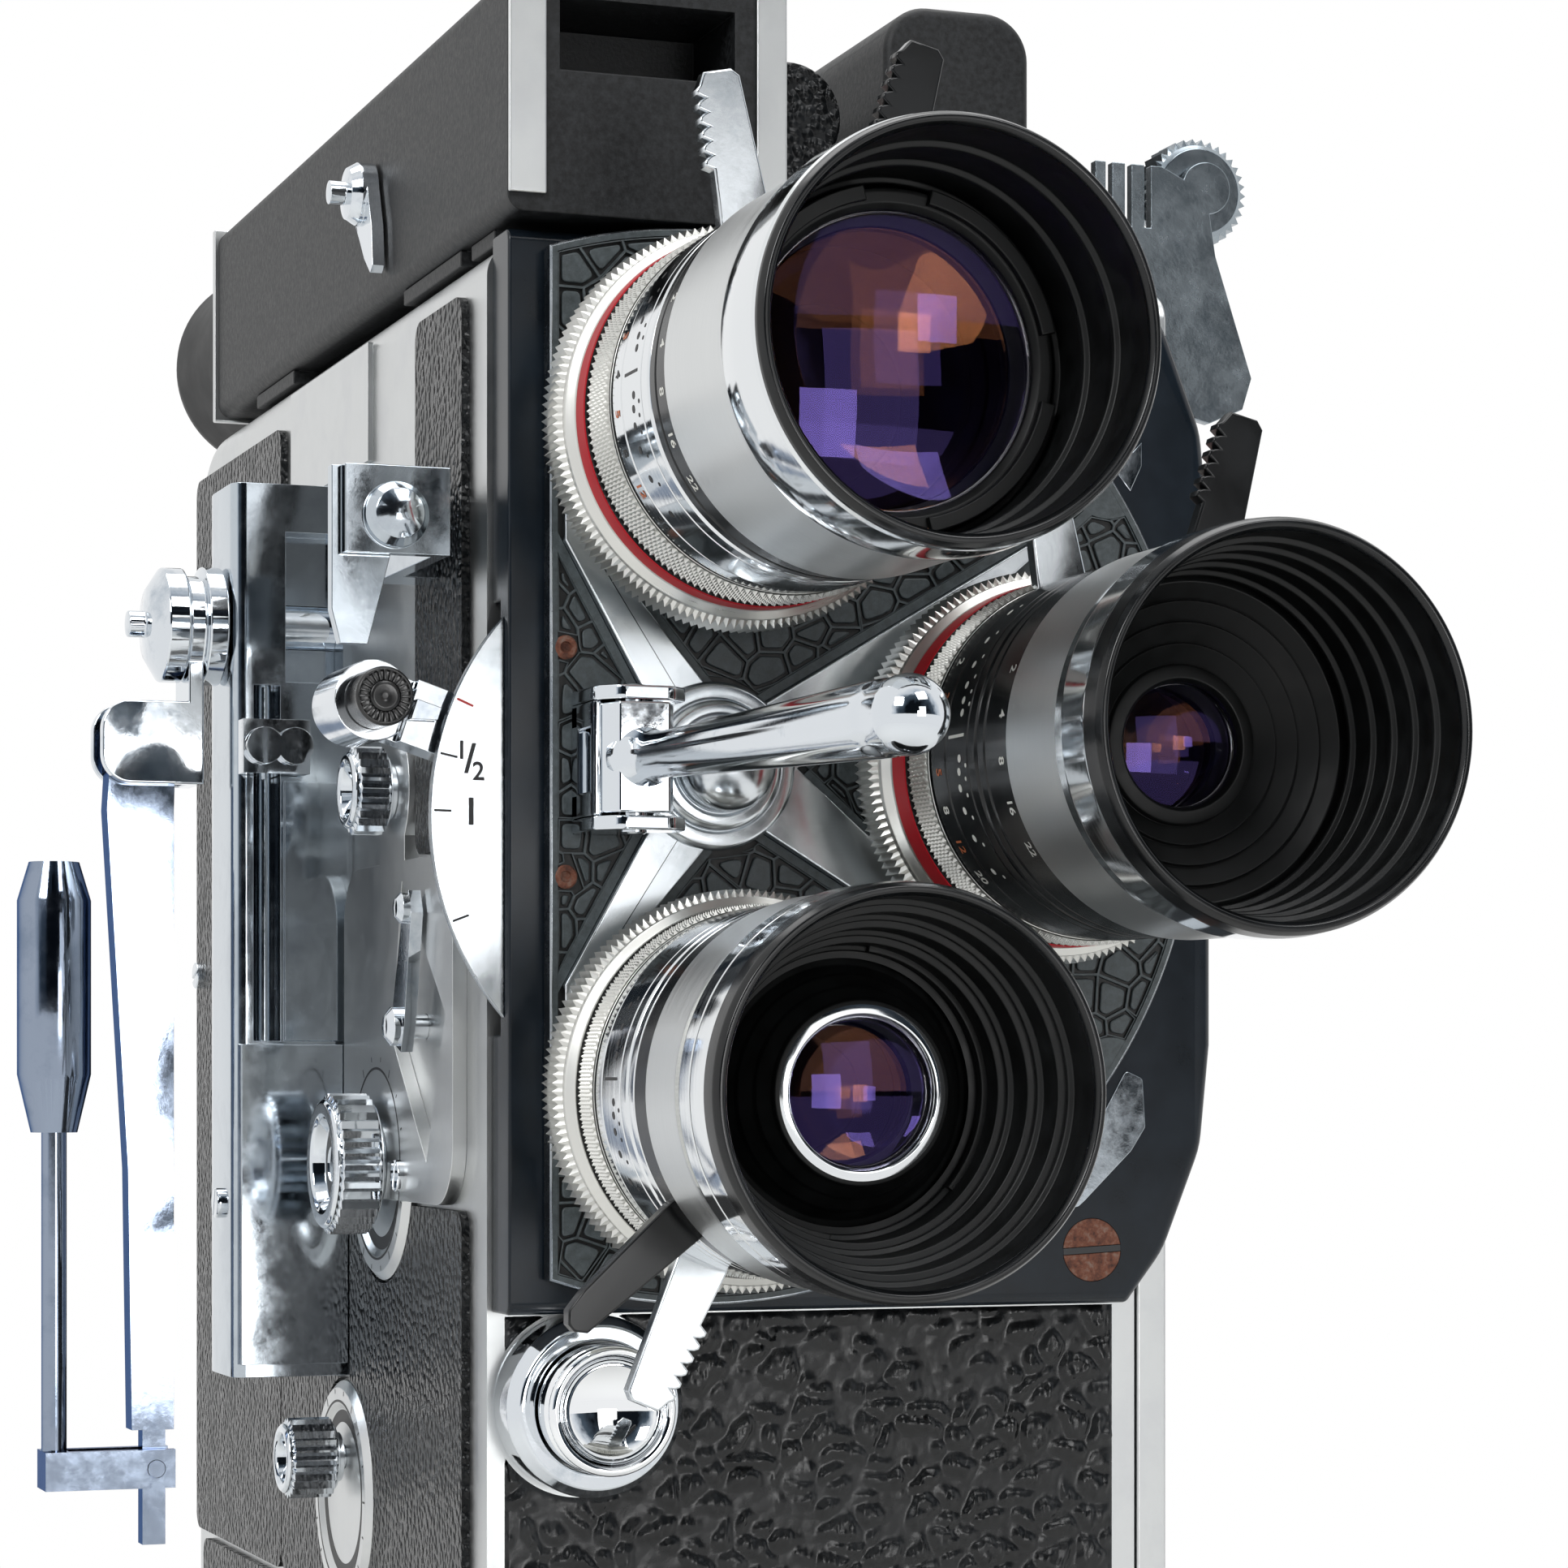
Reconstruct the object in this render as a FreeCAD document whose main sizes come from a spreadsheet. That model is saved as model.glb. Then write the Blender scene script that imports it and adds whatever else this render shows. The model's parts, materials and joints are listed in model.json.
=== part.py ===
import FreeCAD, Part
import math
import os
import Sketcher

# A spring-wound movie camera with a three-lens turret, built as separate pieces.
# Millimetres. X runs to the film door, Y to the rear, Z up.
# The origin is the mouth of the tripod socket, in the middle of the underside.

SIZES = {
    # case
    "body_wide": 69.4,
    "body_deep": 132,
    "body_tall": 189.7,
    "case_wall": 2.6,
    "case_corner": 12,
    "case_edge": 3,
    "base_wide": 50,
    "base_deep": 96,
    "base_thick": 6.5,
    "base_corner": 6,
    "socket_radius": 4.76,
    "socket_deep": 6,
    "leather_thick": 0.8,
    "leather_low": 4,
    "seam_drop": 23.7,
    "seam_back": 11.5,
    "seam_wide": 0.9,
    "leather_edge_round": 2,
    "film_room_deep": 31,
    "plate_thick": 2.4,
    "post_radius": 3,
    "post_inset": 6,
    "door_thick": 3.2,
    "run_gap": 0.3,
    "plate_gap": 0.1,
    "fit_gap": 0.06,
    # front plate and turret
    "hub_from_left": 19.3,
    "hub_below_top": 48.7,
    "front_left": 18.8,
    "front_right": 52.5,
    "front_up": 49.2,
    "front_curve": 9,
    "front_corner": 8.9,
    "front_shoulder": 5,
    "front_plate_thick": 5.5,
    "front_edge": 1.2,
    "scale_set_back": 1.4,
    "turret_radius": 49.8,
    "turret_flat": 15.5,
    "turret_thick": 2,
    "shaft_radius": 5,
    "star_thick": 0.9,
    "star_reach": 36,
    "hub_radius": 7.8,
    "hub_step_radius": 6,
    "dome_radius": 4.4,
    "hub_tall": 3,
    "dome_start": 5.6,
    "port_radius": 12.7,
    "lens_circle": 30,
    # lenses: radii
    "stub_long": 1.8,
    "mount_radius": 15.4,
    "knurl_radius": 18.3,
    "neck_radius": 15,
    "ring_radius": 16.8,
    "band_radius": 16.5,
    "name_radius": 16.9,
    "hood_radius": 17.3,
    "hood_wall": 1.3,
    "lens_bore": 10,
    # lenses: distances forward of the turret face
    "knurl_back": 6.1,
    "knurl_front": 10.4,
    "shoulder_front": 11.9,
    "lever_wide": 3.6,
    "lever_thick": 1.6,
    "lever_reach": 30,
    # turret lever
    "pin_radius": 1.2,
    "cheek_thick": 1.3,
    "knuckle_tall": 10,
    "knuckle_wide": 6.8,
    "pivot_left": 9.5,
    "pivot_ahead": 5.3,
    "grip_long": 51.8,
    "grip_thin": 2,
    "grip_thick": 3.3,
    "grip_lean": 7.1,
    # release
    "release_left": 10.2,
    "release_below": 59.2,
    "collar_radius": 8.5,
    "cup_radius": 6.1,
    "collar_proud": 6,
    "cup_proud": 10.5,
    "release_travel": 3,
    # left side controls, from the case front and from the hub height
    "scale_radius": 27.8,
    "scale_thick": 0.8,
    "scale_axis_right": 2,
    "scale_axis_below": 4.8,
    "arm_radius": 34,
    "arm_rise": 18.3,
    "arm_inner": 17,
    "arm_thick": 2,
    "boss_radius": 3.7,
    "black_knob_radius": 2.75,
    "plate_proud": 1.4,
    "counter_back": 30,
    "counter_below": 0.3,
    "counter_radius": 4.4,
    "counter_long": 4.6,
    "speed_back": 36.3,
    "speed_below": 37.5,
    "speed_radius": 7.1,
    "speed_long": 5.4,
    "dial_radius": 11.8,
    "clutch_back": 52,
    "dial_gap": 0.5,
    "clutch_radius": 4.2,
    "clutch_long": 6,
    "dial_drop": 3.8,
    "selector_back": 21.9,
    "selector_below": 23.8,
    "selector_long": 12,
    "selector_lean": 18,
    "selector_proud": 2.9,
    # fade unit
    "fader_back": 52,
    "fader_deep": 18.5,
    "fader_proud": 12.7,
    "fader_up": 33,
    "fader_down": 60,
    "fader_corner": 9,
    "rod_radius": 0.75,
    # winding crank
    "crank_back": 58,
    "crank_above": 18.5,
    "crank_hub_radius": 6.2,
    "crank_shaft": 3,
    "arm_long": 71.5,
    "arm_wide": 7,
    "grip_rod": 1.3,
    "grip_radius": 3.8,
    "grip_pin_radius": 0.9,
    "sleeve_above": 36,
    "handle_long": 28,
    # finders and carrying handle
    "finder_wide": 26.9,
    "finder_deep": 125.7,
    "finder_tall": 22.2,
    "finder_foot": 1.5,
    "finder_edge": 1.6,
    "finder_ahead": 8,
    "eyecup_deep": 32,
    "eyecup_radius": 12,
    "reflex_left": 22,
    "reflex_wide": 15.2,
    "reflex_tall": 27,
    "reflex_back": 4,
    "reflex_deep": 106,
    "reflex_round": 4.5,
    "reflex_edge": 1,
    "ocular_radius": 8,
    "ocular_deep": 24,
    "bar_radius": 4.4,
    "bar_above": 16.2,
    "bar_right": 13.6,
    "post_wide": 9,
    "post_deep": 5,
    "post_back": 8,
    "post_apart": 98,
    # film path and motor
    "barrel_radius": 25,
    "barrel_thick": 17,
    "sprocket_radius": 9,
    "sprocket_wide": 12,
    "sprocket_back": 22,
    "sprocket_apart": 62,
    "spool_radius": 46,
    "spindle_radius": 4,
    "spindle_long": 20,
    "shutter_radius": 20.6,
    "shutter_right": 22.4,
    "shutter_below": 12,
    "sheet_thin": 0.6,
    "gate_back": 6.4,
    "gate_thick": 2,
    "gate_half_tall": 22,
    "frame_wide": 10.3,
    "frame_tall": 7.5,
    "gate_pin": 1,
    "latch_radius": 7,
    "latch_stem": 2,
    "latch_upper": 26,
    "latch_lower": 108,
    "door_skin_corner": 8,
    "bracket_thick": 1.2,
    "thumbwheel_radius": 5.4,
    "wheel_right": 56.9,
    "wheel_above": 60.4,
    "bracket_back": 6.2,
}


class Size:
    """A length that keeps its number beside the sheet expression that gives it."""

    def __init__(self, value, text):
        self.value = value
        self.text = text

    def __add__(self, other):
        other = as_size(other)
        return Size(self.value + other.value, "(" + self.text + " + " + other.text + ")")

    def __sub__(self, other):
        other = as_size(other)
        return Size(self.value - other.value, "(" + self.text + " - " + other.text + ")")

    def __mul__(self, other):
        other = as_size(other)
        return Size(self.value * other.value, "(" + self.text + " * " + other.text + ")")

    def __truediv__(self, other):
        other = as_size(other)
        return Size(self.value / other.value, "(" + self.text + " / " + other.text + ")")

    def __neg__(self):
        return self * -1

    def __radd__(self, other):
        return as_size(other) + self

    def __rsub__(self, other):
        return as_size(other) - self

    def __rmul__(self, other):
        return as_size(other) * self


def as_size(amount):
    if isinstance(amount, Size):
        return amount
    return Size(float(amount), "(" + format(float(amount), ".6f") + ")")


class Sheet:
    """The spreadsheet's named sizes, each one an attribute."""

    def __init__(self, document):
        cells = document.addObject("Spreadsheet::Sheet", "dims")
        for row, (name, value) in enumerate(SIZES.items(), start=1):
            cells.set("A" + str(row), name)
            cells.set("B" + str(row), str(value))
            cells.setAlias("B" + str(row), name)
            setattr(self, name, Size(float(value), "dims." + name))


doc = FreeCAD.newDocument("movie_camera")
d = Sheet(doc)
doc.recompute()

Vector = FreeCAD.Vector
Rotation = FreeCAD.Rotation
UP = Rotation()
TO_FRONT = Rotation(Vector(1, 0, 0), 90)
TO_REAR = Rotation(Vector(1, 0, 0), -90)
TO_DOOR = Rotation(Vector(0, 1, 0), 90)
TO_LEFT = Rotation(Vector(0, 1, 0), -90)
# Outlines drawn as (Y, Z) grow thicker towards the door
FROM_SIDE = Rotation(Vector(1, 1, 1), 120)

parts = []


# Places that several pieces share
left = -d.body_wide / 2
right = d.body_wide / 2
front = -d.body_deep / 2
rear = d.body_deep / 2
case_low = d.base_thick
case_top = d.base_thick + d.body_tall
hub_x = left + d.hub_from_left
hub_z = case_top - d.hub_below_top
plate_face = front - d.front_plate_thick
plate_low = hub_z - d.release_below + d.collar_radius + d.plate_gap
turret_back = plate_face - d.run_gap
turret_face = turret_back - d.turret_thick
star_face = turret_face - d.star_thick
room_x = right - d.film_room_deep
door_x = right - d.door_thick
inner_front = front + d.case_wall
inner_rear = rear - d.case_wall
inner_low = case_low + d.case_wall
inner_top = case_top - d.case_wall
skin_x = left - d.leather_thick


def place(item, at, turn=UP):
    at = [as_size(amount) for amount in at]
    item.Placement = FreeCAD.Placement(Vector(*[amount.value for amount in at]), turn)
    for axis, amount in zip("xyz", at):
        item.setExpression("Placement.Base." + axis, amount.text)
    return item


def bind(item, **sizes):
    for name, amount in sizes.items():
        item.setExpression(name, as_size(amount).text)
    return item


def box(name, x, y, z):
    """A block between low and high values on each axis."""
    item = doc.addObject("Part::Box", name)
    bind(item, Length=as_size(x[1]) - x[0], Width=as_size(y[1]) - y[0], Height=as_size(z[1]) - z[0])
    return place(item, (x[0], y[0], z[0]))


def rod(name, radius, long, at, turn=UP):
    """A cylinder that starts at a point and runs along the turned Z axis."""
    item = doc.addObject("Part::Cylinder", name)
    bind(item, Radius=radius, Height=long)
    return place(item, at, turn)


def cone(name, start_radius, end_radius, long, at, turn=UP):
    item = doc.addObject("Part::Cone", name)
    bind(item, Radius1=start_radius, Radius2=end_radius, Height=long)
    return place(item, at, turn)


def ball(name, radius, at):
    item = doc.addObject("Part::Sphere", name)
    bind(item, Radius=radius)
    return place(item, at)


def fuse(name, *items, refine=True):
    item = doc.addObject("Part::MultiFuse", name)
    item.Shapes = list(items)
    item.Refine = refine
    return item


def common(name, *items):
    item = doc.addObject("Part::MultiCommon", name)
    item.Shapes = list(items)
    return item


def cut(name, base, *tools):
    item = doc.addObject("Part::Cut", name)
    item.Base = base
    item.Tool = tools[0] if len(tools) == 1 else fuse(name + "_tools", *tools)
    item.Refine = True
    return item


def bundle(name, *items):
    """Separate solids that share one node."""
    item = doc.addObject("Part::Compound", name)
    item.Links = list(items)
    return item


def rounded(name, base, radius, chosen):
    """Rounds the straight or round edges that the test picks."""
    doc.recompute()
    item = doc.addObject("Part::Fillet", name)
    item.Base = base
    edges = enumerate(base.Shape.Edges, start=1)
    item.Edges = [(index, radius, radius) for index, edge in edges if chosen(edge)]
    return item


def runs_along(axis):
    """Picks straight edges parallel to an axis."""
    wanted = {"x": Vector(1, 0, 0), "y": Vector(0, 1, 0), "z": Vector(0, 0, 1)}[axis]

    def chosen(edge):
        if edge.Curve.TypeId != "Part::GeomLine":
            return False
        return abs(abs(edge.Curve.Direction.dot(wanted)) - 1) < 1e-6

    return chosen


def all_of(*tests):
    return lambda edge: all(test(edge) for test in tests)


def beyond(axis, limit, sign=1):
    """Picks edges whose middle lies past a value on an axis."""
    number = as_size(limit).value
    return lambda edge: sign * (getattr(edge.CenterOfMass, axis) - number) > 0


def outline_sketch(body, role, points):
    """A closed outline whose corners are each tied to the sheet."""
    sketch = body.newObject("Sketcher::SketchObject", body.Name + "_outline")
    planes = [item for item in body.Origin.OriginFeatures if item.Role == role]
    sketch.AttachmentSupport = [(planes[0], "")]
    sketch.MapMode = "FlatFace"
    corners = [(as_size(x), as_size(y)) for x, y in points]
    count = len(corners)
    for index, (x, y) in enumerate(corners):
        next_x, next_y = corners[(index + 1) % count]
        line = Part.LineSegment(Vector(x.value, y.value, 0), Vector(next_x.value, next_y.value, 0))
        sketch.addGeometry(line, False)
    for index in range(count):
        sketch.addConstraint(Sketcher.Constraint("Coincident", index, 2, (index + 1) % count, 1))
    for index, corner in enumerate(corners):
        for kind, amount in zip(("DistanceX", "DistanceY"), corner):
            made = sketch.addConstraint(Sketcher.Constraint(kind, -1, 1, index, 1, amount.value))
            sketch.setExpression("Constraints[" + str(made) + "]", amount.text)
    return sketch


def turned(name, points, at, turn=UP):
    """A piece turned about its own Z axis from an outline of (radius, height) corners."""
    body = doc.addObject("PartDesign::Body", name)
    sketch = outline_sketch(body, "XZ_Plane", points)
    item = body.newObject("PartDesign::Revolution", name + "_turn")
    item.Profile = sketch
    item.ReferenceAxis = (sketch, ["V_Axis"])
    item.Angle = 360
    body.Tip = item
    return place(body, at, turn)


def slab(name, points, thick, at, turn=UP):
    """A flat piece cut from sheet to an outline of (x, y) corners."""
    body = doc.addObject("PartDesign::Body", name)
    sketch = outline_sketch(body, "XY_Plane", points)
    item = body.newObject("PartDesign::Pad", name + "_pad")
    item.Profile = sketch
    item.setExpression("Length", as_size(thick).text)
    body.Tip = item
    return place(body, at, turn)


def keep(item, node):
    """Marks a finished piece and gives it its own label."""
    item.Label = node
    parts.append(item)
    return item


# Case

def cavity(name, x):
    """The room inside the case between two values of X, with its rounded corners."""
    block = box(name + "_block", x, (inner_front, inner_rear), (inner_low, inner_top))
    return rounded(name, block, SIZES["case_corner"] - SIZES["case_wall"], runs_along("x"))


def body_casting():
    block = box("case_block", (left, door_x - d.run_gap), (front, rear), (case_low, case_top))
    corners = rounded("case_corners", block, SIZES["case_corner"], all_of(runs_along("x"), beyond("y", 0)))
    outside = rounded("case_outside", corners, SIZES["case_edge"], all_of(
        beyond("x", left + 1, -1), beyond("y", front + 1)))
    room = cavity("case_room", (left + d.case_wall, door_x))
    turret_hole = rod("turret_hole", d.shaft_radius + d.fit_gap, d.case_wall + 2,
                      (hub_x, inner_front + 1, hub_z), TO_FRONT)
    light_hole = rod("case_light_hole", d.lens_bore, d.case_wall + 2,
                     (hub_x + d.lens_circle, inner_front + 1, hub_z), TO_FRONT)
    release_hole = rod("release_hole", d.pin_radius + d.fit_gap, d.case_wall + 2,
                       (release_x, inner_front + 1, release_z), TO_FRONT)
    holes = [side_hole("case_hole_" + name, y, z, radius) for name, y, z, radius in side_shafts()]
    shutter_pin = rod("case_shutter_pin", d.pin_radius, 6, (disc_x, inner_front - 0.5, disc_z), TO_REAR)
    view_port = box("case_view_port", (reflex_x + 3, reflex_x + 9), (front + 18, front + 26),
                    (inner_top - 1, case_top + 1))
    shell = cut("case_shell", outside, room, turret_hole, light_hole, release_hole, view_port, *holes)
    return fuse("body_casting", shell, shutter_pin)


def side_shafts():
    """The shafts that come out of the left side, with their places and radii."""
    return [
        ("crank", crank_y, crank_z, d.crank_shaft),
        ("counter", counter_y, counter_z, d.pin_radius),
        ("speed", speed_y, speed_z, d.pin_radius),
        ("clutch", clutch_y, clutch_z, d.pin_radius),
        ("selector", selector_y, selector_z, d.pin_radius),
    ]


def side_hole(name, y, z, radius):
    return rod(name, radius + d.fit_gap, d.case_wall + 4, (left - 2, y, z), TO_DOOR)


release_x = hub_x - d.release_left
release_z = hub_z - d.release_below
crank_y = front + d.crank_back
crank_z = hub_z + d.crank_above
counter_y = front + d.counter_back
counter_z = hub_z - d.counter_below
speed_y = front + d.speed_back
speed_z = hub_z - d.speed_below
clutch_y = front + d.clutch_back
fader_low = hub_z - d.fader_down
clutch_z = fader_low - d.dial_radius + d.dial_drop - d.dial_gap
dial_z = clutch_z - d.dial_drop
selector_y = front + d.selector_back
selector_z = hub_z - d.selector_below
reflex_x = hub_x + d.reflex_left


def mechanism_plate():
    plate = cavity("mechanism_slab", (room_x - d.plate_thick, room_x))
    inset = d.post_inset
    posts = [rod("plate_post_" + str(number), d.post_radius, room_x - d.plate_thick - left - d.case_wall,
                 (left + d.case_wall, y, z), TO_DOOR)
             for number, (y, z) in enumerate([(inner_front + inset, inner_low + inset),
                                              (inner_rear - inset, inner_low + inset),
                                              (inner_rear - inset, inner_top - inset)])]
    holes = [rod("plate_hole_" + name, radius + d.fit_gap, d.plate_thick + 2,
                 (room_x - d.plate_thick - 1, y, z),
                 TO_DOOR) for name, y, z, radius in film_shafts()]
    shutter_room = box("plate_shutter_room", (room_x - d.plate_thick - 1, room_x + 1),
                       (inner_front - 1, gate_y - 0.8), (disc_z - d.shutter_radius - 1,
                                                         disc_z + d.shutter_radius + 1))
    return cut("mechanism_plate", fuse("plate_with_posts", plate, *posts), shutter_room, *holes)


def film_shafts():
    """Spindles and sprockets that stand on the mechanism plate."""
    return [
        ("upper_sprocket", sprocket_y, sprocket_upper_z, d.spindle_radius),
        ("lower_sprocket", sprocket_y, sprocket_lower_z, d.spindle_radius),
        ("supply", spool_y, supply_z, d.spindle_radius),
        ("takeup", spool_y, takeup_z, d.spindle_radius),
        ("barrel", crank_y, crank_z, d.crank_shaft),
    ]


sprocket_y = inner_front + d.sprocket_back
sprocket_upper_z = hub_z + d.sprocket_apart / 2
sprocket_lower_z = hub_z - d.sprocket_apart / 2
spool_y = inner_rear - d.spool_radius - 1
supply_z = inner_top - d.spool_radius
takeup_z = inner_low + d.spool_radius


def front_plate():
    """The upright plate that the turret turns on, straight at the left and rounded at the right."""
    left_edge = hub_x - d.front_left
    right_edge = hub_x + d.front_right
    high = hub_z + d.front_up
    corner = d.front_corner
    shoulder = d.front_shoulder
    low_right = [(left_edge, plate_low), (right_edge - corner, plate_low),
                 (right_edge - shoulder, plate_low + shoulder), (right_edge - 1, plate_low + 3 * shoulder),
                 (right_edge, plate_low + 5 * shoulder)]
    high_right = [(right_edge, high - 5 * shoulder), (right_edge - 1, high - 3 * shoulder),
                  (right_edge - shoulder, high - shoulder), (right_edge - corner, high), (left_edge, high)]
    block = slab("front_block", low_right + high_right, d.front_plate_thick, (0, front, 0), TO_FRONT)
    shape = rounded("front_shape", block, SIZES["front_curve"], all_of(
        runs_along("y"), beyond("x", right_edge - 1.5 * shoulder)))
    shape = rounded("front_edge", shape, SIZES["front_edge"], all_of(
        beyond("y", plate_face + 0.1, -1), beyond("x", hub_x - 17)))
    shaft = rod("front_shaft_hole", d.shaft_radius + d.fit_gap, d.front_plate_thick + 2,
                (hub_x, front + 1, hub_z), TO_FRONT)
    light = rod("front_light_hole", d.lens_bore, d.front_plate_thick + 2,
                (hub_x + d.lens_circle, front + 1, hub_z), TO_FRONT)
    swing = box("front_swing_room", (hub_x - d.front_left - 1, arm_x - d.arm_inner + 3.5),
                (arm_front - d.run_gap, front + 1), (arm_z - 20, arm_z + 20))
    return cut("front_plate", shape, shaft, light, swing)


arm_x = hub_x + d.scale_axis_right
arm_z = hub_z - d.scale_axis_below
arm_front = front - d.run_gap - d.arm_thick


def shutter_scale():
    """A half-moon of sheet beside the front plate, centred on the shutter lever's axis."""
    disc = rod("scale_disc", d.scale_radius, d.scale_thick, (arm_x, scale_y + d.scale_thick, arm_z), TO_FRONT)
    side = box("scale_side", (arm_x - 40, hub_x - d.front_left), (scale_y - 1, scale_y + 2),
               (arm_z - 30, arm_z + 30))
    return common("shutter_scale", disc, side)


scale_y = plate_face + d.scale_set_back


def base_plate():
    z = (0, case_low)
    block = box("base_block", (-d.base_wide / 2, d.base_wide / 2), (-d.base_deep / 2, d.base_deep / 2), z)
    shape = rounded("base_shape", block, SIZES["base_corner"], runs_along("z"))
    socket = rod("tripod_socket", d.socket_radius, d.socket_deep, (0, 0, 0))
    return cut("base_plate", shape, socket)


def leather_panels():
    """The pebbled covering, in separate panels let onto the front and left side."""
    front_low = box("front_skin", (left + 1.7, door_x - 2.6), (front - d.leather_thick, front),
                    (case_low + d.leather_low, plate_low - d.run_gap))
    collar_room = rod("skin_collar_room", d.collar_radius + 0.3, 3, (release_x, front + 1, release_z),
                      TO_FRONT)
    panels = [
        cut("front_skin_panel", front_low, collar_room),
        side_panel("side_skin_front", (front + 6, front + 23.2), (hub_z - 7, hub_z + 45)),
        side_panel("side_skin_low", (front + 6, rear - 8), (case_low + d.leather_low, seam_z - d.seam_wide)),
        side_panel("side_skin_middle", (front + 6, fader_y - 2), (seam_z, hub_z - 41.4)),
        side_panel("side_skin_rear", (seam_y, rear - 4), (seam_z, case_top - 5)),
        side_panel("side_skin_under", (fader_y, seam_y - d.run_gap), (seam_z, fader_low - d.run_gap)),
    ]
    clutch_room = rod("skin_clutch_room", d.dial_radius + 0.3, 4, (left - 2, clutch_y, dial_z), TO_DOOR)
    speed_room = rod("skin_speed_room", d.dial_radius + 0.3, 4, (left - 2, speed_y, speed_z), TO_DOOR)
    panels[3] = cut("side_skin_middle_cut", panels[3], clutch_room, speed_room)
    panels[5] = cut("side_skin_under_cut", panels[5], rod(
        "skin_under_room", d.dial_radius + 0.3, 4, (left - 2, clutch_y, dial_z), TO_DOOR))
    panels.append(box("rear_skin", (left + 4, door_x - 4), (rear, rear + d.leather_thick),
                      (case_low + 14, case_top - 14)))
    return bundle("leather_panels", *panels)


seam_z = fader_low - d.seam_drop
seam_y = front + d.fader_back + d.fader_deep + d.seam_back


def side_panel(name, y, z):
    block = box(name + "_block", (skin_x, left), y, z)
    return rounded(name, block, SIZES["leather_edge_round"], runs_along("x"))


fader_y = front + d.fader_back


def control_plates():
    """Bare metal plates and dial rings on the left side."""
    x = (left - d.plate_proud, left)
    plate = box("control_block", x, (front + 7, fader_y - 2), (hub_z - 41, hub_z - 7.4))
    shape = rounded("control_shape", plate, 6, runs_along("x"))
    window = slab("control_window", [(9.6, -22.7), (16.7, -37), (29.8, -25), (26, -9.4)], d.plate_proud + 2,
                  (left - d.plate_proud - 1, front, hub_z), FROM_SIDE)
    tab = rod("control_tab", d.counter_radius + 2.4, d.plate_proud, (left, counter_y, counter_z), TO_LEFT)
    neck = box("control_neck", x, (counter_y - 5, counter_y + 5), (hub_z - 10, counter_z))
    speed_dial = dial("speed_dial", speed_y, speed_z)
    clutch_dial = dial("clutch_dial", clutch_y, dial_z)
    name_plate = box("side_trim", (left - 0.6, left), (fader_y - 9, front + 78), (hub_z + 34.5, case_top - 2))
    joined = fuse("control_joined", shape, tab, neck, speed_dial)
    holes = [side_hole("plate_hole_" + name, y, z, radius) for name, y, z, radius in side_shafts()]
    return bundle("control_plates", cut("control_cut", joined, window, *holes[1:3]),
                  cut("clutch_dial_cut", clutch_dial, holes[3]), name_plate)


def dial(name, y, z):
    return turned(name, [(0, 0), (d.dial_radius, 0), (d.dial_radius, 0.7), (d.dial_radius - 0.8, 1.4),
                         (d.dial_radius - 2.4, 1.4), (d.dial_radius - 3, 0.9), (0, 0.9)],
                  (left, y, z), TO_LEFT)


# Turret and lenses

def turret_outline(name, radius, thick, y):
    """A disc with one flat side, centred on the hub."""
    disc = rod(name + "_disc", radius, thick, (hub_x, y, hub_z), TO_FRONT)
    keep_side = box(name + "_side", (hub_x - d.turret_flat, hub_x + 60), (y - thick - 1, y + 1),
                    (hub_z - 60, hub_z + 60))
    return common(name, disc, keep_side)


def lens_places():
    """Lens names with the places of their axes: above, right of and below the hub."""
    return [
        ("top", hub_x, hub_z + d.lens_circle),
        ("right", hub_x + d.lens_circle, hub_z),
        ("bottom", hub_x, hub_z - d.lens_circle),
    ]


def turret_disc():
    disc = turret_outline("turret_plain", d.turret_radius, d.turret_thick, turret_back)
    shaft = rod("turret_shaft", d.shaft_radius, turret_shaft_end - turret_back, (hub_x, turret_back, hub_z),
                TO_REAR)
    collar = rod("turret_collar", d.hub_radius, 2, (hub_x, turret_shaft_end, hub_z), TO_REAR)
    ports = [rod("port_" + name, d.port_radius, d.turret_thick + 2, (x, turret_back + 1, z), TO_FRONT)
             for name, x, z in lens_places()]
    return cut("turret_disc", fuse("turret_and_shaft", disc, shaft, collar), *ports)


turret_shaft_end = inner_front + d.run_gap


def turret_star():
    """The bright trim with four tapered arms, the hub and its dome."""
    arms = []
    for number, side in enumerate([1, -1]):
        long_arm = [(0, side * 3), (6, -side * 2), (d.star_reach - 0.5, side * 23.6),
                    (d.star_reach - 0.8, side * 24)]
        short_arm = [(-3, 0), (2.2, side * 4), (1.2 - d.turret_flat, side * 23.8),
                     (1.2 - d.turret_flat, side * 20.3)]
        arms += [slab("star_long_" + str(number), long_arm, d.star_thick, (hub_x, turret_face, hub_z),
                      TO_FRONT),
                 slab("star_short_" + str(number), short_arm, d.star_thick, (hub_x, turret_face, hub_z),
                      TO_FRONT)]
    dome = d.dome_radius
    hub = turned("star_hub", [(0, 0), (d.hub_radius, 0), (d.hub_radius, 1.8), (d.hub_step_radius, 2.2),
                              (d.hub_step_radius, d.hub_tall), (dome, d.hub_tall + 0.4), (dome, d.dome_start),
                              (dome * 0.92, d.dome_start + 0.9), (dome * 0.62, d.dome_start + 1.9),
                              (0, d.dome_start + 2.4)],
                 (hub_x, turret_face, hub_z), TO_FRONT)
    pads = [rod("star_seat_" + name, d.mount_radius + 0.3, d.star_thick + 2, (x, turret_face + 1, z),
                TO_FRONT)
            for name, x, z in lens_places()]
    return cut("turret_star", fuse("star_joined", *arms, hub), *pads)


pivot_x = hub_x - d.pivot_left
pivot_y = star_face - d.pivot_ahead


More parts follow.
